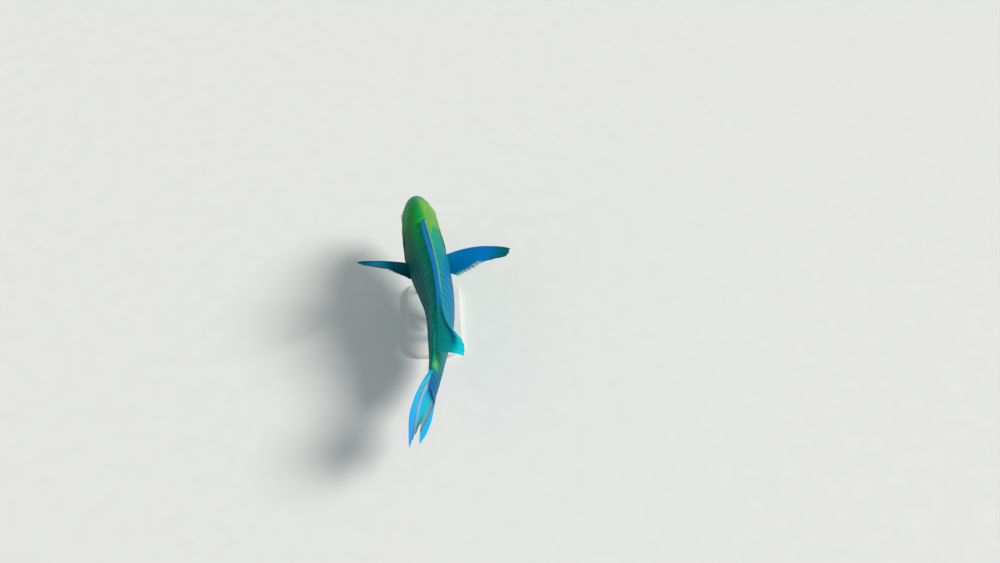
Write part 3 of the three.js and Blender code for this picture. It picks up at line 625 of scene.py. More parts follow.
def relief(a, x, z, points):
    """How far the head's forms raise the skin at places of the straight fish."""
    raised = -COAT_DEPTH * scaled_share(a, z)
    for word, side in SIDES.items():
        off = near(points, eye_spots[word])
        raised = raised + ORBIT["height"] * bell(off, ORBIT["rim"], ORBIT["width"])
        raised = raised + BROW["height"] * bell(off, BROW["at"], BROW["width"])
        raised = raised - ORBIT["depth"] * (1 - ease(off, ORBIT["socket"] - ORBIT["wall"], ORBIT["socket"]))
        for at, level, radius, _ in NOSTRILS:
            hole = near(points, on_flank(at, level, side)[1])
            reach = in_mm(radius)
            pit = 1 - ease(hole, reach * NOSTRIL["floor"], reach * NOSTRIL["brink"])
            raised = raised - NOSTRIL["depth"] * pit + NOSTRIL["rim"] * bell(hole, reach, NOSTRIL["width"])
    sideways = ease(np.abs(x), 0.02, 0.035)
    cheek = in_mm(a - CHEEK_LINE(z))
    muscle = CHEEK["swell"] * bell(cheek, CHEEK["before"], CHEEK["reach"])
    muscle = muscle - CHEEK["groove"] * bell(cheek, 0, CHEEK["width"])
    raised = raised + sideways * ease(z, -0.085, -0.06) * (1 - ease(z, 0.05, 0.075)) * muscle
    level = z - MOUTH["level"]
    corner = bell(in_mm(level), 0, MOUTH_CORNER["width"])
    corner = corner * (1 - ease(a, MOUTH["corner"], MOUTH_CORNER["end"]))
    raised = raised - MOUTH_CORNER["depth"] * corner * ease(a, 0.02, 0.028)
    fold = bell(a - LIP_FOLD["at"] + LIP_FOLD["slant"] * np.abs(level), 0, LIP_FOLD["width"])
    fold = fold * bell(z, 0, LIP_FOLD["reach"]) * sideways
    jaw = bell(a, JAW["at"], JAW["length"]) * bell(z, JAW["level"], JAW["reach"]) * sideways
    raised = raised - LIP_FOLD["depth"] * fold + JAW["height"] * jaw
    chin = CHIN["depth"] * bell(a, CHIN["at"], CHIN["length"])
    raised = raised - chin * bell(z, CHIN["level"], CHIN["reach"])
    for rise in THROAT["rises"]:
        crease = bell(z - BELLY(a) - rise, 0, THROAT["width"])
        crease = crease * ease(a, 0.1, 0.13) * (1 - ease(a, 0.22, 0.25))
        raised = raised - THROAT["depth"] * crease
    for at, level in PORES:
        pore = bell(in_mm(np.hypot(a - at, z - level)), 0, PORE["width"])
        raised = raised - PORE["depth"] * sideways * pore
    return raised


print(len(PORES), "pores and", len(THROAT["rises"]), "throat creases a side")

# %% [markdown]
# Now the loft moves along its own normals, and one ring of the head tells which way is outwards. The
# rings inside the mouth stay as they are, since relief on a surface that curls so tightly would cross
# itself. Skin under scales is sunk by the depth of the coat, but the gill cover's rear edge by less,
# because it reaches out past its scales.

# %% Raise the relief
INNER_RINGS = 9
FLAP_RELIEF = 0.4
HEAD_RING = 100

a, x, z = rings[:, 0], rings[:, 1], rings[:, 2]
loft = posed(a, x, z)
around = np.roll(loft, -1, axis=1) - np.roll(loft, 1, axis=1)
along = np.gradient(loft, axis=0)
normals = unit(np.cross(around, along))
from_axis = loft - posed(a, 0 * x, WIDEST_LEVEL(a))
outward = normals * np.sign(np.sum(normals[HEAD_RING] * from_axis[HEAD_RING]))
raised = relief(a, x, z, loft)
raised[:INNER_RINGS] = 0
raised[flap_start : trunk_start + 1] += COAT_DEPTH * FLAP_RELIEF
skin_points = loft + outward * raised[..., None] * MM
print("relief from", round(float(raised.min()), 2), "to", round(float(raised.max()), 2), "mm")

# %% [markdown]
# ## What the skin knows about itself
# The colours of a fish follow its shape: dark along the back, bright on the flank, bands round the
# mouth. So each point of the skin keeps its place on the straight fish, how far down the side it lies,
# from 0 on the back to 1 under the belly, and how close it is to one of the face's bands. Every finish
# reads these, and skin, scales and fins agree wherever they meet.

# %% Arc lengths and face bands
TABLE_A = np.linspace(0.05, 0.86, 190)
TABLE_TURN = np.linspace(0, math.pi, 241)
table_x, table_z = section(TABLE_A[:, None], TABLE_TURN[None, :])
lengths = np.hypot(np.diff(table_x, axis=1), np.diff(table_z, axis=1))
arcs = np.concatenate([np.zeros((len(TABLE_A), 1)), np.cumsum(lengths, axis=1)], axis=1)
HALF_GIRTH = through(list(zip(TABLE_A, arcs[:, -1])))
SHARES = np.linspace(0, 1, 201)
turn_table = np.array([np.interp(SHARES, row / row[-1], TABLE_TURN) for row in arcs])
widest = [np.interp(math.pi / 2, TABLE_TURN, row / row[-1]) for row in arcs]
SIDE_SHARE = through(list(zip(TABLE_A, widest)))
TABLE_MARGIN = 1.001


def turn_at(a, down):
    """The section's angle at a share of the way down the side. Below 0 or above 1 is the other side."""
    folded = np.abs(down)
    folded = np.where(folded > 1, 2 - folded, folded)
    i = np.clip((a - TABLE_A[0]) / (TABLE_A[1] - TABLE_A[0]), 0, len(TABLE_A) - TABLE_MARGIN)
    j = np.clip(folded * (len(SHARES) - 1), 0, len(SHARES) - TABLE_MARGIN)
    i0, j0 = i.astype(int), j.astype(int)
    low = mix(turn_table[i0, j0], turn_table[i0, j0 + 1], j - j0)
    high = mix(turn_table[i0 + 1, j0], turn_table[i0 + 1, j0 + 1], j - j0)
    turn = mix(low, high, i - i0)
    turn = np.where(np.abs(down) > 1, 2 * math.pi - turn, turn)
    return turn * np.where(down < 0, -1, 1)


BAND_CORE = 0.2
BAND_SOFT = 1.7
FACE_BANDS = (
    (((0.02, 0.03), (0.032, 0.034), (0.05, 0.03), (0.074, 0.021), (0.105, 0.02), (0.138, 0.029)), 0.0042),
    (((0.02, -0.03), (0.034, -0.037), (0.055, -0.045), (0.085, -0.057), (0.115, -0.068)), 0.0042),
    (((0.089, 0.051), (0.076, 0.047), (0.066, 0.046)), 0.0028),
    (((0.146, 0.062), (0.166, 0.066), (0.184, 0.066)), 0.0034),
    (((0.146, 0.047), (0.163, 0.042), (0.178, 0.034)), 0.0034),
    (((0.102, 0.08), (0.09, 0.086), (0.08, 0.086)), 0.0026),
)


def face_bands(a, z):
    """1 on the turquoise bands round the mouth and the eye, fading over their soft edges."""
    shown = np.zeros(np.shape(a))
    for line, half in FACE_BANDS:
        for (a0, z0), (a1, z1) in zip(line[:-1], line[1:]):
            run, rise = a1 - a0, z1 - z0
            t = np.clip(((a - a0) * run + (z - z0) * rise) / (run * run + rise * rise), 0, 1)
            off = np.hypot(a - a0 - t * run, z - z0 - t * rise)
            shown = np.maximum(shown, 1 - ease(off, half * BAND_CORE, half * BAND_SOFT))
    return shown


def way_down(steps):
    """Shares of the way from back to belly along half of each ring, from the steps between points."""
    way = np.concatenate([np.zeros((len(steps), 1)), np.cumsum(steps, axis=1)[:, : AROUND // 2]], axis=1)
    return way / way[:, -1:]


outline = np.stack([x, z], axis=-1)
ring_steps = np.linalg.norm(np.diff(outline, axis=1, append=outline[:, :1]), axis=-1)
down = np.concatenate([way_down(ring_steps)[:, :-1], way_down(ring_steps[:, ::-1])[:, :0:-1]], axis=1)


def body_values(a, x, z, down):
    """The named attributes of places on the body."""
    return {"place": triples(a, x, z), "down": np.ravel(down), "bands": np.ravel(face_bands(a, z))}


print("bands cover", round(float((face_bands(a, z) > 0).mean()), 3), "of the skin's points")

# %% [markdown]
# ## The scales
# A parrotfish wears few and large scales, some two dozen along its side. They are cycloid scales: thin
# plates with a round, smooth rear edge, each rooted under the two in front of it like roof tiles. One
# plate is a small closed grid. All the plates of a region are made at once: their roots are laid out in
# columns on the skin, every other column shifted by half a row, and each plate is then bent over the
# body by asking for the section under every one of its points.

# %% Lay the scales out
COLUMN = through([
    (0.1, 0.0175), (0.2, 0.0205), (0.3, 0.0228), (0.55, 0.0228), (0.7, 0.0195), (0.85, 0.0165),
])
ROW = through([
    (0.1, 0.022), (0.2, 0.0265), (0.35, 0.0295), (0.5, 0.0265), (0.66, 0.0205), (0.85, 0.0165),
])
PLATE_LENGTH = 1.66
PLATE_HALF_WIDTH = 0.64
FREE_OF_BACK = 0.3
FREE_OF_BELLY = 0.22


def laid_out(first, last, column, row):
    """Roots of the scales of one side, as rows of (a, share down the side, length, half width)."""
    roots = []
    a, i = first, 0
    while a < last:
        half = float(HALF_GIRTH(a))
        side = float(SIDE_SHARE(a)) * half
        pitch = float(row(a))
        for j in range(-int(side / pitch) - 1, int((half - side) / pitch) + 2):
            s = side + (j + 0.5 * (i % 2)) * pitch
            if FREE_OF_BACK * pitch < s < half - FREE_OF_BELLY * pitch:
                roots.append((a, s / half, float(column(a)) * PLATE_LENGTH, pitch * PLATE_HALF_WIDTH))
        a += float(column(a))
        i += 1
    return np.array(roots)


def midline(first, last, down):
    """Roots of one row of scales on the back's middle line, 0, or on the belly's, 1."""
    roots = []
    a = first
    while a < last:
        roots.append((a, down, float(COLUMN(a)) * PLATE_LENGTH, float(ROW(a)) * PLATE_HALF_WIDTH))
        a += float(COLUMN(a))
    return np.array(roots)


def spans(roots):
    """Where scales begin and end along the body, and the levels of their roots."""
    a, down, length, _ = roots.T
    return a, a + length, section(a, turn_at(a, down))[1]


print("a flank of plain rows would hold", len(laid_out(0.3, 0.7, COLUMN, ROW)), "scales")

# %% [markdown]
# The trunk's coat starts under the gill cover, and higher up on the nape, and it ends at the root of the
# tail. The cheek and the gill cover have smaller scales, which stay clear of the eye, the throat and the
# cover's bare rear edge. So each region is laid out in full, and the scales out of bounds are dropped.

# %% Choose the scales of trunk and cheek
COAT = {"first": 0.118, "last": 0.832, "end": 0.818, "under_gill": 0.017, "past_gill": 0.01}
NAPE = {"level": 0.072, "slant": 0.6, "from": 0.07, "at": 0.122}
CHEEK_COAT = {
    "first": 0.094, "last": 0.262, "clear_of_eye": 0.034, "top": 0.07, "bottom": -0.085, "bare": 0.001,
    "centre": 0.6, "share": 0.55,
}


def cheek_column(a):
    return 0.0158 + 0.01 * ease(a, 0.15, 0.22)


def cheek_row(a):
    return 0.0205 + 0.012 * ease(a, 0.14, 0.22)


trunk_roots = laid_out(COAT["first"], COAT["last"], COLUMN, ROW)
starts, ends, levels = spans(trunk_roots)
edges = gill_edge(np.minimum(levels, NAPE["from"]))
on_nape = (levels > NAPE["level"]) & (starts - NAPE["slant"] * (levels - NAPE["from"]) > NAPE["at"])
behind_gill = (starts > edges - COAT["under_gill"]) & (ends > edges + COAT["past_gill"])
trunk_roots = trunk_roots[(on_nape | behind_gill) & (ends < COAT["end"])]

cheek_roots = laid_out(CHEEK_COAT["first"], CHEEK_COAT["last"], cheek_column, cheek_row)
starts, ends, levels = spans(cheek_roots)
centres = starts + cheek_roots[:, 2] * CHEEK_COAT["centre"]
clear = np.hypot(centres - EYE["at"], levels - EYE["level"]) > CHEEK_COAT["clear_of_eye"]
clear = clear & (levels < CHEEK_COAT["top"]) & (levels > CHEEK_COAT["bottom"])
clear = clear & (ends < gill_edge(levels) - CHEEK_COAT["bare"])
cheek_roots = cheek_roots[clear & (scaled_share(centres, levels) > CHEEK_COAT["share"])]
print(len(trunk_roots), "scales a side on the trunk and", len(cheek_roots), "on the cheek and gill cover")

# %% [markdown]
# Each plate rises a little from root to rear edge, so that it lies on top of the ones behind it, and is
# slightly domed across. The `OFBake` map gives every plate a tiny patch of its own at its root's place
# on the unrolled skin, so that a bake of the finish gives one clean colour to each scale.

# %% Build the plates
PLATE = {
    "rows": 13, "columns": 10, "thickness": 0.15, "root": -0.46, "rise": {"trunk": 0.54, "head": 0.42},
    "dome": 0.06, "roundness": 0.44, "edge": 0.96, "crowding": 0.85, "taper": 0.1,
}
PLATE_WOBBLE = {"length": 0.03, "lift": 0.012}
TUCKED_IN = {"depth": 2.2, "from": 0.001, "to": 0.012}
PATCH = 0.003
PATCH_STRIP = {1: 0.02, -1: 0.52}
SEED = 7
draw = np.random.default_rng(SEED)


def plate_map(a0, down0, p, v, side):
    """Where each point of the plates lies on the map: close round the place of its plate's root."""
    across = 0.02 + 0.96 * a0 + (p - 0.5) * PATCH + 0 * v
    upward = PATCH_STRIP[side] + 0.46 * np.clip(down0, 0, 1) + 0.5 * v * PATCH + 0 * p
    return np.stack([across, upward], axis=-1).reshape(-1, 2)


def plates(name, roots, side, material, region="trunk", extra=0.0):
    """One side's plates of a region as one piece, lifted by some extra millimetres."""
    count = len(roots)
    v = np.linspace(-1, 1, PLATE["columns"])[None, None, :]
    q = np.linspace(0, 1, PLATE["rows"])[None, :, None] ** PLATE["crowding"]
    p = q * (1 - PLATE["roundness"] * (1 - np.sqrt(1 - PLATE["edge"] * v * v)))
    a0, down0, length, half = (roots[:, k][:, None, None] for k in range(4))
    wobble = draw.normal(0, 1, (count, 1, 1))
    tint = draw.uniform(0, 1, (count, 1, 1))
    a = a0 + p * length * (1 + PLATE_WOBBLE["length"] * wobble) + 0 * v
    share = down0 + v * half * (1 - PLATE["taper"] * p) / HALF_GIRTH(a)
    turn = turn_at(a, share)
    x, z = section(a, turn)
    forms = relief(a, x, z, posed(a, side * x, z)) + COAT_DEPTH * scaled_share(a, z)
    if region == "head":
        forms = forms + np.where(a < gill_edge(z), gill_swell(a, z), 0)
    else:
        tucked = ease(gill_edge(z) - a, TUCKED_IN["from"], TUCKED_IN["to"])
        forms = forms - TUCKED_IN["depth"] * gill_share(z) * tucked
    lift = PLATE["root"] + PLATE["rise"][region] * p + PLATE["dome"] * (1 - v * v)
    lift = lift + PLATE_WOBBLE["lift"] * wobble + extra + forms
    sheets = [section(a, turn, lift - down_by) for down_by in (0, PLATE["thickness"])]
    points = [posed(a, side * x, z).reshape(count, -1, 3) for x, z in sheets]
    one = shell_faces(PLATE["rows"], PLATE["columns"])
    faces = one[None] + 2 * PLATE["rows"] * PLATE["columns"] * np.arange(count)[:, None, None]
    top_x, top_z = sheets[0]
    values = body_values(a, side * top_x, top_z, np.abs(share))
    values["plate"] = triples(v + 0 * a, q, tint)
    values["map"] = plate_map(a0, down0, p, v, side)
    values = both_sheets(values, count)
    whole_map = values.pop("map")
    make_piece(name, np.concatenate(points, axis=1).reshape(-1, 3), faces.reshape(-1, 4), material,
               values, whole_map)


print("one plate has", PLATE["rows"] * PLATE["columns"] * 2, "points")

# %% [markdown]
# ## The body's colours
# One function paints the body, and the skin and every scale call it, so their markings agree. It looks
# up a colour along the body four times, for the back, either flank and the belly, and blends the four
# by the side and by how far down it the place lies. The left flank is painted darker and greener than
# the right: that is painted shade, for the side away from the light. The face's bands, the gold of the
# nape and the yellow spot in front of the tail are laid over that. The gold is a real marking, painted
# on the top and the lit right side only; on the left, painted shade takes its place.

# %% Paint the body
BACK_TONES = (
    (0.02, (0, 150, 160)), (0.078, (0, 146, 146)), (0.11, (12, 150, 86)), (0.16, (10, 152, 56)),
    (0.25, (0, 166, 60)), (0.3, (0, 162, 98)), (0.37, (0, 143, 106)), (0.5, (0, 130, 116)),
    (0.58, (0, 138, 128)), (0.64, (0, 138, 130)), (0.69, (0, 122, 104)), (0.735, (0, 128, 92)),
    (0.77, (0, 100, 140)), (0.82, (0, 88, 150)),
)
RIGHT_TONES = (
    (0.02, (0, 150, 156)), (0.085, (0, 152, 136)), (0.12, (0, 154, 104)), (0.18, (0, 150, 96)),
    (0.25, (0, 155, 112)), (0.32, (0, 140, 140)), (0.41, (0, 118, 165)), (0.5, (0, 120, 166)),
    (0.6, (0, 124, 152)), (0.7, (0, 124, 120)), (0.76, (0, 96, 146)), (0.84, (0, 88, 150)),
)
# Tones of the left flank: the right flank's colours darkened and turned greener, as painted shade.
SHADED_LEFT_TONES = (
    (0.02, (0, 150, 156)), (0.085, (0, 146, 112)), (0.14, (0, 150, 62)), (0.2, (0, 126, 50)),
    (0.27, (0, 106, 66)), (0.36, (0, 93, 92)), (0.5, (0, 94, 99)), (0.62, (0, 94, 95)),
    (0.69, (0, 112, 98)), (0.74, (0, 104, 84)), (0.78, (0, 96, 146)), (0.84, (0, 88, 150)),
)
BELLY_TONES = (
    (0.02, (40, 178, 172)), (0.14, (84, 188, 172)), (0.3, (66, 176, 182)), (0.5, (48, 160, 186)),
    (0.66, (8, 126, 168)), (0.84, (0, 98, 154)),
)
GOLD = ink(102, 164, 62)
BAND = ink(0, 176, 186)
HALO = ink(0, 150, 92)
SPOT = ink(118, 178, 62)


def along_body(finish, a, tones):
    """A ramp of colours along the body, from its stops (a, colour)."""
    lookup = finish.node("ValToRGB", {}, {0: a})
    ramp = lookup.socket.node.color_ramp
    ramp.interpolation = "EASE"
    while len(ramp.elements) < len(tones):
        ramp.elements.new(0.5)
    for stop, (at, tone) in zip(ramp.elements, tones):
        stop.position = at
        stop.color = ink(*tone)
    return lookup


def body_colour(finish):
    """The body's colour wherever a finish asks for it."""
    a = finish.known("place", 0)
    x = finish.known("place", 1)
    down = finish.known("down")
    drift = finish.noise(16, 2) - 0.5
    level = down + drift * 0.12
    # The left flank gets the darker painted shade, blended in by the side.
    left = along_body(finish, a, SHADED_LEFT_TONES)
    side = finish.blend(along_body(finish, a, RIGHT_TONES), left, (x + drift * 0.01).eased(-0.006, 0.012))
    colour = finish.blend(along_body(finish, a, BACK_TONES), side, level.eased(0.02, 0.2))
    colour = finish.blend(colour, along_body(finish, a, BELLY_TONES), level.eased(0.55, 0.95))
    # The gold reaches further back on the right flank and is kept off the left: a real marking, shown on the
    # lit side only, with painted shade in its place on the left.
    rear = 0.252 - a + x.bell(-0.026, 0.007) * 0.055 + drift * 0.04
    inner = 0.02 - x - a * 0.14 + drift * 0.02
    gold = a.eased(0.08, 0.115) * rear.eased(0, 0.016) * inner.eased(-0.006, 0.014)
    colour = finish.blend(colour, GOLD, gold * level.eased(0.46, 0.34))
    bands = finish.known("bands") * (0.85 + drift * 0.4)
    colour = finish.blend(colour, BAND, bands * 0.75)
    halo = a.bell(0.728, 0.026) * x.bell(-0.007, 0.012) * down.eased(0.45, 0.3)
    colour = finish.blend(colour, HALO, halo * 0.8)
    spot = a.bell(0.736, 0.009) * x.bell(-0.0085, 0.0045) * down.eased(0.4, 0.3)
    return finish.blend(colour, SPOT, spot * 0.8)


WAXY = {"coat_weight": 0.03, "coat_roughness": 0.25, "specular_ior_level": 0.12}
print(len(BACK_TONES) + len(RIGHT_TONES) + len(SHADED_LEFT_TONES) + len(BELLY_TONES), "stops along the body")

# %% [markdown]
# Bare skin on a live fish is soft and faintly marbled. Three layers of noise do that in the colour, and
# two of them, with a finer one for the pores, make the bump. The gloss is kept low, as it would wash out
# the deep colours.

# %% The skin's finish
skin_finish = Finish("moist_skin")
pores = skin_finish.noise(900, 2)
folds = skin_finish.noise(160, 4)
marbling = skin_finish.noise(60, 3)
freckles = skin_finish.noise(430, 2)
skin_tone = skin_finish.blend(body_colour(skin_finish), ink(0, 60, 60), folds.eased(0.6, 0.78) * 0.3)
skin_tone = skin_finish.blend(skin_tone, ink(70, 190, 150), marbling.eased(0.5, 0.76) * 0.16)
skin_tone = skin_finish.blend(skin_tone, ink(0, 78, 76), freckles.eased(0.6, 0.7) * 0.3)
skin_finish.surface(
    base_color=skin_tone, roughness=0.52 + pores * 0.14, ior=1.4, **WAXY,
    normal=skin_finish.bump(folds * 0.6 + freckles * 0.25 + pores * 0.15, 0.0005, 0.7),
)

# %% [markdown]
# A scale is thin bone under clear skin. Its bare rear field shows fine growth rings along the edge and
# a few spokes across them, both only hundredths of a millimetre deep, so they are bump and not mesh.
# The rim carries the fish's second colour: darker on the back, salmon towards the belly.

# %% The scales' finish
GROWTH_RINGS = 26
SPOKES = 9

coat_finish = Finish("scales")
across = coat_finish.known("plate", 0)
outward_share = coat_finish.known("plate", 1)
tint = coat_finish.known("plate", 2)
lower = coat_finish.known("down").eased(0.34, 0.62)
rim = outward_share.eased(0.88, 0.97)
base = coat_finish.blend(body_colour(coat_finish), ink(0, 76, 84), tint * 0.12)
base = coat_finish.blend(base, ink(90, 200, 186), outward_share.bell(0.66, 0.16) * (0.03 + lower * 0.08))
rim_colour = coat_finish.blend(ink(0, 84, 92), ink(176, 132, 132), lower)
rim_depth = 0.1 + lower * coat_finish.known("place", 0).eased(0.74, 0.64) * 0.4
base = coat_finish.blend(base, rim_colour, rim * rim_depth)
growth = outward_share.wave(GROWTH_RINGS) * outward_share.eased(0.1, 0.35)
spokes = (across * (1.25 - outward_share * 0.25)).wave(SPOKES) * outward_share.eased(0.86, 0.5)
grain = coat_finish.noise(1500, 2)
coat_finish.surface(
    base_color=base, roughness=0.52 + grain * 0.14 + rim * 0.08, ior=1.42, **WAXY,
    normal=coat_finish.bump(growth * 0.35 + spokes * 0.25 + grain * 0.2, 0.00012, 0.55),
)

# %% [markdown]
# Skin first, then the coat in five pieces: the trunk's two sides, the two cheeks, and the single rows
# that close the roof over the nape and under the belly.

# %% Put skin and scales on
MIDLINES = ((0.128, 0.225, 0.0), (0.16, 0.475, 1.0), (0.7, 0.8, 1.0))
MIDLINE_LIFT = 0.05

make_piece("skin", skin_points.reshape(-1, 3), loft_faces(len(rings), AROUND), skin_finish.material,
           body_values(a, x, z, down), replaces=("head", "trunk", "tail_stock"))
for word, side in SIDES.items():
    plates("scales_" + word, trunk_roots, side, coat_finish.material)
    plates("cheek_scales_" + word, cheek_roots, side, coat_finish.material, "head")
middle_roots = np.concatenate([midline(*stretch) for stretch in MIDLINES])
plates("midline_scales", middle_roots, 1, coat_finish.material, extra=MIDLINE_LIFT)

# %% [markdown]
# ## The fins
# A fin is a fan of bony rays with a film of skin between them. Each soft ray is jointed, and it forks,
# once half way out and once more near the edge. All fins share one recipe: a sheet of points whose
# middle a small function places, and a thickness that swells where a branch of a ray runs. Both faces
# of the sheet and the rim between them make it a closed solid as thin as the real one.

# %% The recipe of a fin
FIN_COLUMNS = 14
ROOT_THICKNESS = 3.4
STOUT_ROOT_THICKNESS = 4.5
RAY_THICKNESS = 1.15
FILM_THICKNESS = 0.42
TIP_THICKNESS = 0.34
FIRST_FORK = {"apart": 0.15, "from": 0.32, "to": 0.62}
SECOND_FORK = {"apart": 0.075, "from": 0.62, "to": 0.88}
RAY_WIDTH = {"root": 0.2, "tip": 0.055, "taper": 0.6}
FRAY = {"notch": 0.25, "fork": 0.007, "ray": 0.004, "bare": 0.2, "bare_width": 0.2}


def ray_profile(phase, q, forked):
    """1 on a ray or one of its branches, 0 on the film. phase is the distance to the nearest ray."""
    first, second = (
        fork["apart"] * ease(q, fork["from"], fork["to"]) * forked for fork in (FIRST_FORK, SECOND_FORK))
    width = mix(RAY_WIDTH["root"], RAY_WIDTH["tip"], q ** RAY_WIDTH["taper"])
    shown = np.zeros(np.shape(phase))
    for one in (-1, 1):
        for two in (-1, 1):
            shown = np.maximum(shown, bell(phase, one * first + two * second, width))
    return shown


def waves(phase, count):
    """0 on a ray and rising to 1, so many times from one ray to the next."""
    return 0.5 - 0.5 * np.cos(2 * count * math.pi * phase)


def frayed_edge(phase, u, ray, forks, notch, bare_tips):
    """How far the film reaches out in each column, 1 for the whole way. It draws back between the rays,
    a little between a ray's branches, and by bare_tips where the rays' tips stand free."""
    fray = draw.normal(0, 1, (2, len(forks)))
    edge = 1 - notch * waves(phase, 1) * (1 + FRAY["notch"] * fray[0][ray])
    edge = edge - FRAY["fork"] * forks[ray] * waves(phase, 4) + FRAY["ray"] * fray[1][ray]
    if bare_tips is not None:
        film = 1 - bell(phase, 0, FRAY["bare_width"])
        edge = edge - bare_tips(u) * film * (1 + FRAY["bare"] * fray[1][ray])
    return np.minimum(edge, 1)


def fin_piece(name, rows, place, material, forked, notch, root=ROOT_THICKNESS, upright=False,
              bare_tips=None):
    """A fin of one ray for each number in forked, 1 where that ray forks. An upright fin is thickened
    straight to the fish's sides, and any other along its sheet's own normals."""
    rays = len(forked)
    columns = (rays - 1) * FIN_COLUMNS + 1
    c = np.arange(columns)
    phase = (c + FIN_COLUMNS / 2) % FIN_COLUMNS / FIN_COLUMNS - 0.5
    ray = np.round(c / FIN_COLUMNS).astype(int)
    forks = np.asarray(forked, float)
    u = c / (columns - 1)
    edge = frayed_edge(phase, u, ray, forks, notch, bare_tips)[:, None]
    u = u[:, None]
    steps = np.linspace(0, 1, rows + 1)[None, :]
    q = steps * edge
    a, x, z = np.broadcast_arrays(*place(u, q))
    sheet = posed(a, x, z)
    if upright:
        normal = unit(posed(a, x - 1, z) - sheet)
    else:
        normal = unit(np.cross(np.gradient(sheet, axis=0), np.gradient(sheet, axis=1)))
    profile = ray_profile(phase[:, None], q, forks[ray][:, None])
    body = mix(FILM_THICKNESS, RAY_THICKNESS, profile)
    thickness = mix(root, body, ease(steps, 0, 0.3))
    thickness = mix(thickness, TIP_THICKNESS * (0.6 + 0.4 * profile), ease(steps, 0.45, 1))
    half = normal * (thickness * MM / 2)[..., None]
    points = np.concatenate([(sheet + half).reshape(-1, 3), (sheet - half).reshape(-1, 3)])
    values = body_values(a, x, z, np.zeros(a.shape))
    values["sheet"] = triples(u, q, profile)
    make_piece(name, points, shell_faces(columns, rows + 1), material, both_sheets(values),
               replaces=(name.removesuffix("_rays"),))


print("a fin of 13 rays has", (13 - 1) * FIN_COLUMNS + 1, "columns")

# %% [markdown]
# Where each fin stands comes from the same measurements as the solids. The dorsal fin is erect in front
# and folds over to the fish's right behind, the tail is half closed, and the pectoral fins are wings,
# which is how a parrotfish rows.

# %% Places of the fins
DORSAL = {
    "from": 0.241, "to": 0.7, "sink": 0.012, "root_lean": 0.55,
    "reach": through([(0, 0.046), (0.08, 0.068), (0.3, 0.074), (0.6, 0.074), (0.85, 0.11), (1, 0.098)]),
    "slope": through([(0, 23), (0.4, 32), (0.7, 51), (0.85, 32), (1, 13)]),
    "lean": through([(0, 17), (0.3, 15.5), (0.5, 21), (0.65, 42), (0.8, 71), (1, 76)]),
}
ANAL = {
    "from": 0.478, "to": 0.688, "sink": 0.01, "lean": -16,
    "reach": through([(0, 0.036), (0.2, 0.056), (0.6, 0.064), (0.9, 0.06), (1, 0.05)]),
    "slope": through([(0, 42), (1, 62)]),
}
CAUDAL = {
    "centre": 0.02, "half": 0.05, "root": 0.79, "curve": 1.5, "middle": 0.116,
    "fullness": through([(0, 0), (0.2, 0.4), (0.5, 0.74), (0.75, 0.91), (1, 1)]),
}
LOBES = {
    1: {
        "root": 0.753, "reach": 0.259,
        "spread": through([(0, 1), (0.3, 1.69), (0.65, 1.72), (1, 0.89)]),
    },
    -1: {
        "root": 0.774, "reach": 0.186,
        "spread": through([(0, 1), (0.3, 1.44), (0.65, 1.21), (1, 0.555)]),
    },
}
PECTORAL = {
    "front": (0.271, 0.004), "rear": (0.2985, -0.038), "sink": 0.012, "fan": 34, "power": 1.14,
    "reach": through([
        (0, 0.209), (0.08, 0.247), (0.2, 0.239), (0.4, 0.15), (0.6, 0.121), (0.8, 0.086), (1, 0.061),
    ]),
}
PECTORAL_POSE = {
    1: {"raised": 36, "sweep": 11, "fore": 10, "aft": 12, "root": -35, "tip": -44},
    -1: {"raised": 27, "sweep": 19, "fore": 6, "aft": 9.5, "root": 29, "tip": 19},
}
PELVIC = {
    "at": 0.287, "root": 0.02, "side": 0.019, "sink": 0.014, "backward": 24, "outward": 6, "fan": 26,
    "narrowing": 0.006, "drawn": 6.5, "drop": 0.9,
    "reach": through([(0, 0.118), (0.25, 0.122), (0.6, 0.1), (1, 0.07)]),
}


def dorsal_place(u, q):
    """Places (a, x, z) of the dorsal fin's middle, which leans to the fish's right."""
    a = mix(DORSAL["from"], DORSAL["to"], u)
    reach = DORSAL["reach"](u) * q
    slope = np.radians(DORSAL["slope"](u))
    lean = np.radians(DORSAL["lean"](u) * mix(DORSAL["root_lean"], 1, q))
    rise = reach * np.cos(slope)
    return a + reach * np.sin(slope), -rise * np.sin(lean), BACK(a) - DORSAL["sink"] + rise * np.cos(lean)


def anal_place(u, q):
    """Places of the anal fin's middle, below the belly."""
    a = mix(ANAL["from"], ANAL["to"], u)
    reach = ANAL["reach"](u) * q
    slope = np.radians(ANAL["slope"](u))
    lean = np.radians(ANAL["lean"] * q)
    drop = reach * np.cos(slope)
    return a + reach * np.sin(slope), -drop * np.sin(lean), BELLY(a) + ANAL["sink"] - drop * np.cos(lean)


def caudal_place(u, q):
    """Places of the tail fin's middle. k is 1 at the upper edge and -1 at the lower one."""
    k = 1 - 2 * u
    share = np.abs(k)

    def chosen(value):
        return np.where(k > 0, value(LOBES[1]), value(LOBES[-1]))

    lobe = chosen(lambda one: one["reach"])
    root = mix(CAUDAL["root"], chosen(lambda one: one["root"]), share ** CAUDAL["curve"])
    reach = mix(CAUDAL["middle"], lobe, CAUDAL["fullness"](share)) * q
    spread = chosen(lambda one: one["spread"](reach / lobe))
    return root + reach, 0 * reach, CAUDAL["centre"] + k * CAUDAL["half"] * spread


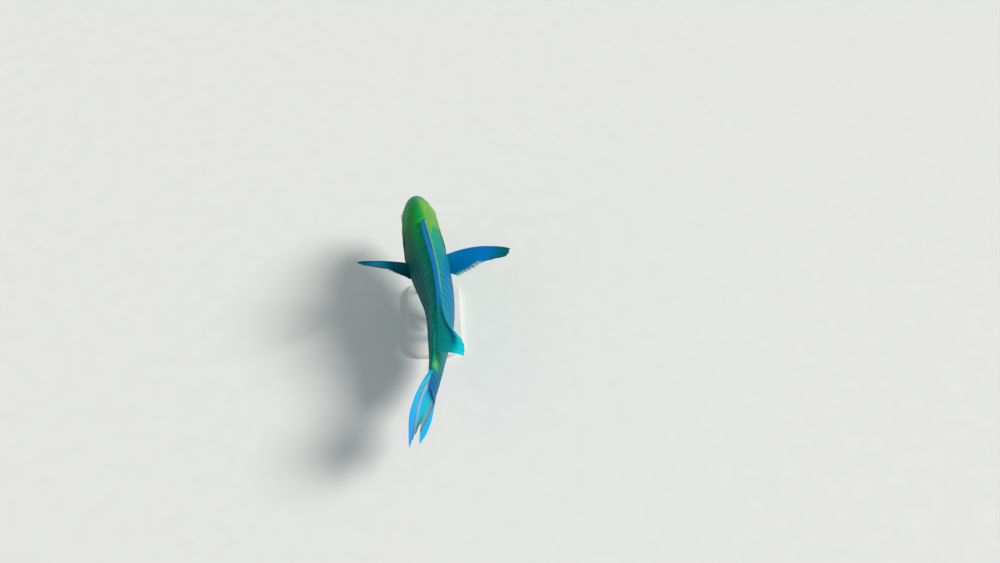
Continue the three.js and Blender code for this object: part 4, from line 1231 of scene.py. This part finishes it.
def pectoral_place(side):
    """Gives the function of places of one side's pectoral fin, a wing that turns about its span."""
    pose = PECTORAL_POSE[side]
    raised, sweep = math.radians(pose["raised"]), math.radians(pose["sweep"])
    level_span = np.array([math.sin(sweep), side * math.cos(sweep)])
    span = np.array([*level_span * math.cos(raised), math.sin(raised)])

    def place(u, q):
        twist = np.radians(mix(pose["root"], pose["tip"], q))
        chord = np.stack([np.cos(twist), 0 * twist, -np.sin(twist)], axis=-1)
        chord = unit(chord - (chord @ span)[..., None] * span)
        a, z = (mix(PECTORAL["front"][i], PECTORAL["rear"][i], u) for i in (0, 1))
        start = np.stack(np.broadcast_arrays(a, side * (flank(a, z) - PECTORAL["sink"]), z), axis=-1)
        bow = mix(-pose["fore"], pose["aft"], q)
        fan = np.radians(PECTORAL["fan"] * u ** PECTORAL["power"] + bow * (1 - u))
        reach = (PECTORAL["reach"](u) * q)[..., None]
        spot = start + span * reach * np.cos(fan)[..., None] + chord * reach * np.sin(fan)[..., None]
        return spot[..., 0], spot[..., 1], spot[..., 2]

    return place


def pelvic_place(side):
    """Gives the function of places of one side's pelvic fin, which trails below the belly."""
    def place(u, q):
        a = PELVIC["at"] + PELVIC["root"] * u
        x = PELVIC["side"] - PELVIC["narrowing"] * u
        angle = math.pi - np.arcsin(np.minimum(x / HALF_WIDTH(a), 1))
        z = section(a, angle)[1]
        back = math.radians(PELVIC["backward"])
        outward = np.radians(PELVIC["outward"] - PELVIC["drawn"] * u)
        reach = PELVIC["reach"](u) * q
        fall = np.sin(back + math.radians(PELVIC["fan"]) * (0.5 - u) * PELVIC["drop"])
        aside = side * (x + reach * np.sin(outward) * math.cos(back))
        return a + reach * math.cos(back), aside, z + PELVIC["sink"] - reach * fall

    return place


print("five kinds of fin placed")

# %% [markdown]
# ## The fins' colours
# In a fin the colour follows two numbers: `u`, from the first ray to the last, and `q`, from root to
# edge. Stripes that run with the rays are masks of `u`, and margins are masks of `q`. The rays show as
# slightly lighter lines with the fine cross joints of real fin rays in the bump.

# %% The recipe of a fin's finish
SHORT_JOINTS = 110
LONG_JOINTS = 70


def fin_finish(name, paint, ray_tone, ray_share, joints):
    """The finish of one fin: its painted film, its rays over that, and the rays' joints in the bump."""
    finish = Finish(name)
    u, q, ray = (finish.known("sheet", part) for part in range(3))
    cloud = finish.noise(60, 3) - 0.5
    colour = paint(finish, u, q, cloud)
    colour = finish.blend(colour, ray_tone, ray * ray_share * q.eased(0.02, 0.3))
    joint = q.wave(joints) * ray * q.eased(0.15, 0.3)
    wrinkle = finish.noise(420, 3)
    finish.surface(
        base_color=colour, roughness=0.5 + wrinkle * 0.16, coat_weight=0.02, coat_roughness=0.25,
        specular_ior_level=0.1, ior=1.4,
        normal=finish.bump(ray * 0.5 + joint * 0.3 + wrinkle * 0.35, 0.00022, 0.6),
    )
    return finish.material


# %% [markdown]
# The dorsal and the anal fin stand on the middle line. In front the dorsal fin is azure under a yellow
# edge, and where it folds over it turns teal with a dark band and a bright corner.

# %% Paint the dorsal and the anal fin
def paint_dorsal(finish, u, q, cloud):
    height = q + cloud * 0.05
    folded = q.eased(0.04, 0.3) * u.eased(0.5, 0.66)
    colour = finish.blend(body_colour(finish), ink(0, 156, 150), folded)
    colour = finish.blend(colour, ink(0, 156, 240), height.eased(0.14, 0.26) * u.eased(0.7, 0.58))
    colour = finish.blend(colour, ink(0, 96, 92), height.bell(0.76, 0.06) * u.eased(0.34, 0.22) * 0.9)
    tips = height.eased(0.85, 0.9) * u.eased(0.62, 0.5) * u.eased(0.02, 0.06)
    colour = finish.blend(colour, ink(176, 232, 70), tips * (0.7 + finish.known("sheet", 2) * 0.3))
    band = (height - u * 0.4).bell(0.38, 0.13) * u.eased(0.58, 0.7) * u.eased(0.98, 0.9)
    colour = finish.blend(colour, ink(0, 88, 116), band)
    colour = finish.blend(colour, ink(30, 200, 226), height.eased(0.8, 0.88) * u.eased(0.52, 0.62))
    corner = (height + u * 0.6).eased(1.2, 1.46) * u.eased(0.7, 0.82)
    return finish.blend(colour, ink(0, 214, 222), corner)


def paint_anal(finish, u, q, cloud):
    root = finish.blend(body_colour(finish), ink(66, 178, 184), q.eased(0.22, 0.4))
    stripe = finish.blend(root, ink(186, 148, 176), (q + cloud * 0.06).bell(0.55, 0.12) * 0.8)
    return finish.blend(stripe, ink(0, 118, 204), (q + cloud * 0.04).eased(0.72, 0.82))


dorsal_film = fin_finish("dorsal_film", paint_dorsal, ink(0, 150, 186), 0.2, LONG_JOINTS)
anal_film = fin_finish("anal_film", paint_anal, ink(120, 200, 210), 0.3, LONG_JOINTS)

# %% [markdown]
# The tail fin's stripes run slantwise towards the lobes' tips, so each is a band of `k` and `q` added
# together, where `k` is 1 at the upper edge and -1 at the lower one. From the top down they are an azure
# margin with a dark and a yellow line, lilac grey, the turquoise middle, mauve, and azure again.

# %% Paint the tail fin
def paint_caudal(finish, u, q, cloud):
    k = 1 - u * 2
    drift = cloud * 0.05
    colour = finish.blend(ink(0, 92, 150), ink(0, 166, 196), (q + cloud * 0.1).eased(0.1, 0.3))
    colour = finish.blend(colour, ink(0, 88, 94), q.eased(0.62, 0.95))
    lilac = k + q * 0.42 + drift - 0.59
    grey = finish.blend(ink(130, 160, 200), ink(92, 132, 136), q.eased(0.45, 0.95))
    colour = finish.blend(colour, grey, lilac.eased(-0.02, 0.06) * q.eased(0.02, 0.2))
    margin = k + q * 0.56 + drift - 0.95
    colour = finish.blend(colour, ink(0, 78, 138), margin.bell(-0.05, 0.035) * q.eased(0.05, 0.2) * 0.9)
    colour = finish.blend(colour, ink(116, 188, 96), margin.bell(-0.1, 0.026) * q.eased(0.36, 0.2) * 0.8)
    azure = finish.blend(ink(0, 176, 212), ink(0, 142, 224), q.eased(0.3, 0.9))
    colour = finish.blend(colour, azure, margin.eased(-0.03, 0.03))
    mauve = q * 0.5 - k - 0.45 + drift
    colour = finish.blend(colour, ink(98, 138, 146), mauve.eased(-0.03, 0.05) * q.eased(0.1, 0.2))
    lower = q * 0.58 - k - 0.85 + drift
    colour = finish.blend(colour, ink(0, 78, 110), lower.bell(-0.05, 0.035) * q.eased(0.18, 0.3) * 0.9)
    return finish.blend(colour, ink(0, 158, 212), lower.eased(-0.02, 0.04) * q.eased(0.16, 0.3))


tail_film = fin_finish("tail_film", paint_caudal, ink(60, 180, 214), 0.14, SHORT_JOINTS)

# %% [markdown]
# The pectoral fins are blue. The left one is painted darker, and darker still towards its edge: that is
# painted shade, for the side away from the light. The right one has a green tip, and the trailing edge of
# both ends in pale ray tips, near white on the rays: a painted highlight for light glinting on them. The
# pelvic fins are paler, with a blue front ray.

# %% Paint the pectoral and the pelvic fins
def paint_pectoral(finish, u, q, cloud):
    # The left fin is painted darker: painted shade.
    left = finish.known("place", 1).eased(0, 0.02)
    blue = finish.blend(ink(0, 150, 226), ink(0, 126, 156), left)
    colour = finish.blend(body_colour(finish), blue, q.eased(0.04, 0.13))
    # More painted shade towards the left fin's edge.
    colour = finish.blend(colour, ink(0, 74, 96), left * (q + cloud * 0.2).eased(0.4, 0.8))
    tip = (q * u.eased(0.75, 0.2)).eased(0.7, 0.94)
    colour = finish.blend(colour, ink(0, 120, 84), tip * (1 - left) * 0.9)
    # Pale ray tips, near white on the rays as a painted highlight of glinting light.
    on_ray = finish.known("sheet", 2).eased(0.0, 0.3)
    glinting_fringe = finish.blend(ink(110, 206, 200), ink(252, 252, 248), on_ray)
    return finish.blend(colour, glinting_fringe, (q + u * 0.34).eased(0.96, 1.0) * u.eased(0.36, 0.44))


def paint_pelvic(finish, u, q, cloud):
    root = finish.blend(body_colour(finish), ink(52, 166, 190), q.eased(0.12, 0.3))
    colour = finish.blend(root, ink(150, 160, 200), (u + cloud * 0.1).bell(0.45, 0.18) * 0.6)
    return finish.blend(colour, ink(0, 124, 212), u.eased(0.22, 0.1))


pectoral_film = fin_finish("pectoral_film", paint_pectoral, ink(40, 170, 234), 0.16, SHORT_JOINTS)
pelvic_film = fin_finish("pelvic_film", paint_pelvic, ink(150, 216, 226), 0.3, LONG_JOINTS)

# %% [markdown]
# The front rays of the dorsal and the anal fin are stiff spines that don't fork, and neither does the
# first ray of any other fin. The film is drawn back a little between the rays, and at the trailing edge
# of the pectoral fins by much more, so that the tips of the rays stand free.

# %% Build the fins
BARE_TIPS = through([(0, 0), (0.36, 0), (0.5, 0.07), (0.7, 0.14), (0.9, 0.17), (1, 0.1)])
NOTCH = 0.045
TAIL_NOTCH = 0.035
SPINY_NOTCH = 0.016
WING_NOTCH = 0.018


def forking(*runs):
    """Whether each ray forks, from runs of (how many, 1 or 0)."""
    return [forks for count, forks in runs for _ in range(count)]


fin_piece("dorsal_fin_rays", 44, dorsal_place, dorsal_film, forking((9, 0), (10, 1)), SPINY_NOTCH)
fin_piece("anal_fin_rays", 40, anal_place, anal_film, forking((3, 0), (9, 1)), NOTCH)
fin_piece("caudal_fin_rays", 120, caudal_place, tail_film, forking((1, 0), (11, 1), (1, 0)),
          TAIL_NOTCH, STOUT_ROOT_THICKNESS, upright=True)
for word, side in SIDES.items():
    fin_piece(f"pectoral_fin_{word}_rays", 96, pectoral_place(side), pectoral_film,
              forking((1, 0), (6, 1), (6, 0)), WING_NOTCH, STOUT_ROOT_THICKNESS, bare_tips=BARE_TIPS)
    fin_piece(f"pelvic_fin_{word}_rays", 56, pelvic_place(side), pelvic_film,
              forking((1, 0), (5, 1)), NOTCH)

# %% [markdown]
# ## The beak
# A parrotfish has no single teeth. Hundreds of tiny ones are fused into an upper and a lower plate that
# look like a bird's beak, with a seam down the middle of each and a finely scalloped cutting edge. Each
# plate is a quarter of a blunt dome, with the mosaic of teeth raised by hundredths of a millimetre.

# %% The beak's plates
MOUTH_GAP = 0.9
PLATE_WALL = 0.8
TOOTH_PLATE = {"reach": 84, "columns": 169, "rows": 73}
TOOTH = {"width": 7, "height": 5, "swell": 0.028, "fades": (0.7, 1.3)}
SCALLOP = {"depth": 0.0005, "count": 17, "rise": 0.1}
SEAM = {"depth": 0.4, "width": 1.3}


def tooth_plate(half, sign, material):
    """The upper plate, sign 1, or the lower one, -1. across and rise are angles on its dome."""
    reach, columns, rows = TOOTH_PLATE.values()
    across = np.radians(np.linspace(-reach, reach, columns))[:, None]
    rise = np.radians(np.linspace(0, reach, rows))[None, :]
    fore = np.cos(rise) * np.cos(across)
    sideways = np.cos(rise) * np.sin(across)
    lateral = np.maximum(np.hypot(sideways, np.sin(rise)), 1e-4)
    hold = lateral ** (BEAK["bluntness"] - 1)
    scallops = np.abs(np.sin(across * SCALLOP["count"])) * bell(rise, 0, SCALLOP["rise"])
    edge = MOUTH_GAP / 2 / (LENGTH / MM) + SCALLOP["depth"] * scallops
    level = np.degrees(rise) / TOOTH["height"]
    shift = math.pi * (np.floor(level) % 2)
    mosaic = np.cos(np.degrees(across) * 2 * math.pi / TOOTH["width"] + shift) * np.sin(math.pi * (level % 1))
    swell = TOOTH["swell"] * mosaic * (1 - ease(rise, *TOOTH["fades"]))
    swell = swell - SEAM["depth"] * bell(np.degrees(across), 0, SEAM["width"])
    sheets = []
    for lifted in (1 + swell / in_mm(BEAK["length"]), PLATE_WALL):
        a = np.minimum(BEAK["at"] - BEAK["length"] * fore * lifted, BEAK["at"] - BEAK["root"])
        x = BEAK["width"] * hold * sideways * lifted
        z = MOUTH["level"] + sign * (edge + (BEAK[half] - edge) * hold * np.sin(rise) * lifted)
        sheets.append(posed(a, x, z).reshape(-1, 3))
    values = both_sheets({"tooth": triples(across, rise, mosaic)})
    make_piece("tooth_plate_" + half, np.concatenate(sheets), shell_faces(columns, rows), material,
               values, replaces=("beak_" + half,))


print("teeth are", TOOTH["width"], "by", TOOTH["height"], "degrees of the dome")

# %% [markdown]
# The plates are cream at the edge and stained blue green towards the gums, as if worn and grown over,
# with brownish flecks and darker joints between the teeth. Enamel is glossy and lets a little light in,
# so it has a clear coat and a little scattering under it.

# %% Enamel, and the two plates
enamel = Finish("enamel")
rise_known = enamel.known("tooth", 1)
mosaic_known = enamel.known("tooth", 2)
stain = enamel.noise(140, 4)
cream = enamel.blend(ink(222, 222, 196), ink(120, 190, 176), rise_known.eased(0.35, 1.0) * 0.85)
cream = enamel.blend(cream, ink(176, 150, 110), stain.eased(0.5, 0.72) * 0.35)
cream = enamel.blend(cream, ink(150, 160, 140), mosaic_known.eased(-0.2, -0.9) * 0.22)
enamel.surface(
    base_color=cream, roughness=0.22 + stain * 0.2, coat_weight=0.4, coat_roughness=0.1, ior=1.6,
    subsurface_weight=0.08, normal=enamel.bump(mosaic_known * 0.5 + stain * 0.5, 0.0002, 0.5),
)
for half, sign in (("upper", 1), ("lower", -1)):
    tooth_plate(half, sign, enamel.material)

# %% [markdown]
# ## The eyes
# A fish's eye is a globe with a flat, metallic iris and a round lens that pokes out through the pupil,
# all under a clear cornea. The globe sits sunk in its socket, and only a shallow cap of it shows. The
# cornea is its own piece, because it is the only clear thing on the fish.

# %% The eye's profiles
IRIS = 6.9
PUPIL = 2.7
LENS = {"stands": 0.12, "height": 0.75, "points": 14}
IRIS_DISC = {"sunk": 0.1, "swell": 0.25, "turn": 1.9, "points": 22}
CORNEA = {"thickness": 0.35, "edge": 41, "tip": 0.3, "points": 30}
BALL = {"edge": 41.5, "end": 178, "points": 40}
GAZE_UNIT = 10


def turned_form(profile, basis, centre, steps):
    """A lathe form round the third axis of a basis, from a profile of (radius, height) in mm."""
    radius, height = np.array(profile, float).T[..., None]
    turn = np.arange(steps) / steps * 2 * math.pi
    local = triples(radius * np.cos(turn), radius * np.sin(turn), height)
    values = {"gaze": triples(radius / GAZE_UNIT, np.cos(turn), np.sin(turn))}
    return centre + local @ basis.T * MM, loft_faces(len(radius), steps), values


def ball_arc(radius, start, end, count):
    """Points of a profile on a ball, between two angles from its front."""
    return [(radius * math.sin(t), radius * math.cos(t)) for t in np.radians(np.linspace(start, end, count))]


def globe_profile(radius):
    disc = math.sqrt(radius * radius - IRIS * IRIS)
    profile = []
    for r in np.linspace(0.05, PUPIL - 0.01, LENS["points"]):
        profile.append((r, disc + LENS["stands"] + LENS["height"] * math.sqrt(1 - (r / PUPIL) ** 2)))
    for r in np.linspace(PUPIL, IRIS, IRIS_DISC["points"]):
        swell = math.sin((IRIS - r) / (IRIS - PUPIL) * IRIS_DISC["turn"])
        profile.append((r, disc - IRIS_DISC["sunk"] + IRIS_DISC["swell"] * swell))
    return profile + ball_arc(radius, BALL["edge"], BALL["end"], BALL["points"])


def cornea_profile(radius):
    outer = ball_arc(radius, CORNEA["tip"], CORNEA["edge"], CORNEA["points"])
    return outer + ball_arc(radius - CORNEA["thickness"], CORNEA["edge"], CORNEA["tip"], CORNEA["points"])


print("the globe's profile has", len(globe_profile(in_mm(EYE["radius"]))), "points")

# %% [markdown]
# The iris is gold with a bright inner ring and runs to copper outside, and fine fibres cross it like
# spokes. So the noise is stretched: it is read at a place that goes round with the angle and hardly
# changes with the radius. The pupil is black, and a dark teal ring closes the iris.

# %% Build the eyes
EYE_STEPS = 96
FIBRES = 9

eye = Finish("eye_globe")
ring = eye.known("gaze", 0) * GAZE_UNIT
fibre_place = eye.node("CombineXYZ", {}, {
    0: eye.known("gaze", 1) * FIBRES, 1: eye.known("gaze", 2) * FIBRES, 2: ring * 0.5,
})
fibres = eye.noise(1.6, 4, 0.6, fibre_place)
iris_tone = eye.blend(ink(232, 190, 60), ink(206, 110, 44), (ring + fibres * 1.4).eased(4.2, 6.6))
iris_tone = eye.blend(iris_tone, ink(120, 60, 30), fibres.eased(0.52, 0.7) * 0.5)
iris_tone = eye.blend(iris_tone, ink(244, 220, 120), ring.bell(3.0, 0.28) * 0.7)
whole = eye.blend(ink(4, 4, 6), iris_tone, ring.eased(PUPIL - 0.06, PUPIL + 0.08))
whole = eye.blend(whole, ink(20, 90, 92), ring.eased(IRIS - 0.25, IRIS + 0.1))
eye.surface(
    base_color=whole, metallic=ring.eased(PUPIL, PUPIL + 0.2) * ring.eased(IRIS, IRIS - 0.3) * 0.35,
    roughness=0.22 + ring.eased(PUPIL - 0.1, PUPIL + 0.1) * 0.2, coat_weight=0.15, coat_roughness=0.05,
    specular_ior_level=0.25, normal=eye.bump(fibres, 0.0002, 0.5),
)
clear = Finish("cornea")
clear.surface(
    base_color=ink(250, 252, 252), roughness=0.02, ior=1.376, transmission_weight=1.0, alpha=0.35,
)

for word, side in SIDES.items():
    radius = in_mm(EYE["radius"])
    basis, centre = on_flank(EYE["at"], EYE["level"], side, (EYE["showing"] - EYE["radius"]) * LENGTH)
    points, faces, values = turned_form(globe_profile(radius), basis, centre, EYE_STEPS)
    make_piece("globe_" + word, points, faces, eye.material, values, replaces=("eye_" + word,))
    points, faces, values = turned_form(cornea_profile(radius), basis, centre, EYE_STEPS)
    make_piece("cornea_" + word, points, faces, clear.material, values)

# %% [markdown]
# ## The nostrils
# Each side has two openings in front of the eye, each with a low fleshy rim. The pits are already in
# the skin's relief; the rims are small rings laid over their edges.

# %% Nostril rims
RIM_STEPS = 72
TUBE_STEPS = 24
RIM = {"sunk": 0.0002, "uneven": 0.25, "tall": 1.2, "flat": 0.9, "down": 0.2}


def rim_faces():
    """The faces of a ring of tube, its last round of points joined to its first."""
    seam = grid_faces(2, TUBE_STEPS, closed=True)
    seam = np.where(seam >= TUBE_STEPS, seam - TUBE_STEPS, seam + (RIM_STEPS - 1) * TUBE_STEPS)
    return np.concatenate([grid_faces(RIM_STEPS, TUBE_STEPS, closed=True), seam])


def nostril_rim(name, at, level, radius, rim, side):
    basis, centre = on_flank(at, level, side, -RIM["sunk"])
    turn = np.linspace(0, 2 * math.pi, TUBE_STEPS + 1)[:-1]
    round_ = (np.arange(RIM_STEPS) / RIM_STEPS * 2 * math.pi)[:, None]
    tube = in_mm(rim) * (1 + RIM["uneven"] * np.cos(round_))
    r = in_mm(radius) + tube * np.cos(turn)
    local = triples(r * np.cos(round_), RIM["tall"] * r * np.sin(round_), tube * np.sin(turn) * RIM["flat"])
    every = np.ones(len(local))
    x = side * float(flank(np.array(at), np.array(level)))
    values = body_values(at * every, x * every, level * every, RIM["down"] * every)
    make_piece(name, centre + local @ basis.T * MM, rim_faces(), skin_finish.material, values)


for word, side in SIDES.items():
    for number, nostril in enumerate(NOSTRILS):
        nostril_rim(f"nostril_{word}_{number}", *nostril, side)

# %% [markdown]
# ## The stand
# A model of a fish needs something to lie on: a heavy base with round corners and a small bevel, and two
# steel rods that rise from turned collars into the belly. The base is painted in a pale eggshell colour,
# and the steel is brushed round the rods, so its noise is squeezed in height.

# %% Paint and steel
paint = Finish("stand_paint")
speckle = paint.noise(700, 3)
cloudy = paint.noise(18, 3)
patches = cloudy.eased(0.35, 0.7) * 0.5 + speckle * 0.1
paint.surface(
    base_color=paint.blend(ink(226, 225, 220), ink(208, 207, 202), patches),
    roughness=0.42 + speckle * 0.12, coat_weight=0.15, coat_roughness=0.3,
    normal=paint.bump(speckle, 0.00008, 0.4),
)
steel = Finish("brushed_steel")
steel_place = steel.node("TexCoord", out="Object")
brushed_place = steel.node("VectorMath", {"operation": "MULTIPLY"}, {0: steel_place, 1: (300, 300, 9000)})
brushed = steel.noise(1.0, 3, 0.5, brushed_place)
steel.surface(
    base_color=steel.blend(ink(184, 186, 188), ink(150, 152, 156), brushed.eased(0.3, 0.7)), metallic=1.0,
    roughness=0.2 + brushed * 0.16, normal=steel.bump(brushed, 0.00003, 0.35),
)

# %% [markdown]
# The base is a stack of outlines: in over the bevel, up the side, over the upper bevel, and in to the
# middle of the top. A rod is turned on the lathe like the eye, from a profile with a rounded collar and
# a small fillet. Rounded edges matter here, because only they catch the light.

# %% Base and rods
BASE = {"length": 156, "width": 88, "height": 10, "corner": 26, "bevel": 1.2, "top_insets": (6, 14, 22)}
ROD = {
    "radius": 3.5, "collar": 8, "height": 5, "edge": 1, "fillet": 0.8, "core": 0.4, "straight": 4,
    "into": 6, "rings": 12, "steps": 64, "places": {"front": 0.235, "rear": 0.44},
}
BEVEL_STEPS = 6
CORNER_POINTS = 25


def quarter(radius):
    """A quarter of a round edge, as pairs that run from (radius, 0) to (0, radius)."""
    turns = np.linspace(0, math.pi / 2, BEVEL_STEPS + 1)
    return [(radius * (1 - math.sin(t)), radius * (1 - math.cos(t))) for t in turns]


def corner_outline(inset):
    """The base's outline, drawn in by an inset in mm, as points in order."""
    corner = BASE["corner"] - inset
    points = []
    for i, (sx, sy) in enumerate(((1, -1), (1, 1), (-1, 1), (-1, -1))):
        turn = (i - 1) * math.pi / 2 + np.linspace(0, math.pi / 2, CORNER_POINTS)
        x = sx * (BASE["width"] / 2 - BASE["corner"]) + corner * np.cos(turn)
        y = sy * (BASE["length"] / 2 - BASE["corner"]) + corner * np.sin(turn)
        points.append(np.stack([x, y], axis=-1))
    return np.concatenate(points)


def rod_profile(top):
    """The profile of a rod and its collar up to a top, in mm above the base."""
    profile = [(ROD["core"], 0), (ROD["collar"], 0), (ROD["collar"], ROD["height"] - ROD["edge"])]
    profile += [(ROD["collar"] - inward, ROD["height"] - drop) for drop, inward in quarter(ROD["edge"])[1:]]
    profile += [(ROD["radius"] + out, ROD["height"] + rise) for out, rise in quarter(ROD["fillet"])]
    heights = np.linspace(ROD["height"] + ROD["straight"], top, ROD["rings"])
    return profile + [(ROD["radius"], height) for height in heights] + [(ROD["core"], top)]


outlines = quarter(BASE["bevel"])
outlines += [(inward, BASE["height"] - drop) for drop, inward in quarter(BASE["bevel"])]
outlines += [(inset, BASE["height"]) for inset in BASE["top_insets"]]
around_base = 4 * CORNER_POINTS
base_rings = []
for inset, height in outlines:
    base_rings.append(np.column_stack([corner_outline(inset), np.full(around_base, height)]))
make_piece("plinth", np.concatenate(base_rings) * MM, loft_faces(len(base_rings), around_base),
           paint.material, replaces=("stand_base",))
for word, at in ROD["places"].items():
    foot = posed(at, 0, BELLY(np.array(at)))
    top = foot[2] / MM + ROD["into"] - BASE["height"]
    centre = np.array([foot[0], foot[1], BASE["height"] * MM])
    points, faces, values = turned_form(rod_profile(top), np.eye(3), centre, ROD["steps"])
    make_piece("rod_" + word, points, faces, steel.material, values,
               replaces=("stand_rod_" + word,))

# %% [markdown]
# ## Floor, light and camera
# A plain pale floor lies under the stand. It has a faint grain, so that it reads as a surface, and it is
# so wide that its edge doesn't cut through a low view.

# %% Floor
FLOOR_REACH = 80

floor_finish = Finish("floor")
floor_grain = floor_finish.noise(30, 4)
floor_finish.surface(
    base_color=floor_finish.blend(ink(226, 226, 223), ink(218, 218, 215), floor_grain),
    roughness=0.7 + floor_grain * 0.1, normal=floor_finish.bump(floor_grain, 0.0005, 0.1),
)
floor_mesh = bpy.data.meshes.new("floor")
corners = [(x * FLOOR_REACH, y * FLOOR_REACH, 0) for x, y in ((-1, -1), (1, -1), (1, 1), (-1, 1))]
floor_mesh.from_pydata(corners, [], [(0, 1, 2, 3)])
floor_mesh.materials.append(floor_finish.material)
floor = bpy.data.objects.new("floor", floor_mesh)
bpy.context.scene.collection.objects.link(floor)
print("floor reaches", FLOOR_REACH, "m each way")

# %% [markdown]
# The light comes from the fish's right. One broad lamp high on that side gives the soft shadow, and a
# weak second lamp and a pale world keep the far side readable. Both lamps are of the kind that shines
# evenly from one direction, so the whole fish gets the same light.

# %% Lights
WORLD_TONE = (0.86, 0.9, 0.93, 1)
WORLD_STRENGTH = 0.42


def lamp(name, place, power, softness, tone):
    """Even light from the direction of a place, its shadows softened by an angle in degrees."""
    light = bpy.data.lights.new(name, "SUN")
    light.energy = power
    light.angle = math.radians(softness)
    light.color = tone
    holder = bpy.data.objects.new(name, light)
    bpy.context.scene.collection.objects.link(holder)
    away = unit(np.array(place))
    across = unit(np.cross([0, 0, 1], away))
    frame_of_lamp = np.eye(4)
    frame_of_lamp[:3] = np.column_stack([across, np.cross(away, across), away, place])
    holder.matrix_world = Matrix(frame_of_lamp.tolist())


lamp("key", (-1.7, 0.2, 1.6), 3.0, 24, (1, 0.985, 0.95))
lamp("fill", (1.2, 1.4, 1.6), 0.3, 60, (0.86, 0.94, 1))
world = bpy.data.worlds.new("studio")
bpy.context.scene.world = world
world.use_nodes = True
background = world.node_tree.nodes["Background"]
background.inputs["Color"].default_value = WORLD_TONE
background.inputs["Strength"].default_value = WORLD_STRENGTH
bpy.context.scene.view_settings.view_transform = "Standard"
print("lights set:", [light.name for light in bpy.data.lights])

# %% [markdown]
# The photograph looks down on the fish from behind its tail, and the fish lies left of the middle. The
# camera's place, turn and lens were fitted to the fish's own outline, and it has no depth of field.

# %% Camera
CAMERA = {"place": (-0.0284, 1.1543, 1.4626), "yaw": 3.97, "pitch": 49.85, "lens": 40.43, "sensor": 36.0}
camera = bpy.data.cameras.new("camera")
camera.lens = CAMERA["lens"]
camera.sensor_width = CAMERA["sensor"]
viewer = bpy.data.objects.new("camera", camera)
viewer.location = CAMERA["place"]
viewer.rotation_euler = (math.radians(90 - CAMERA["pitch"]), 0, math.radians(180 - CAMERA["yaw"]))
bpy.context.scene.collection.objects.link(viewer)
bpy.context.scene.camera = viewer
print("camera at", CAMERA["place"])
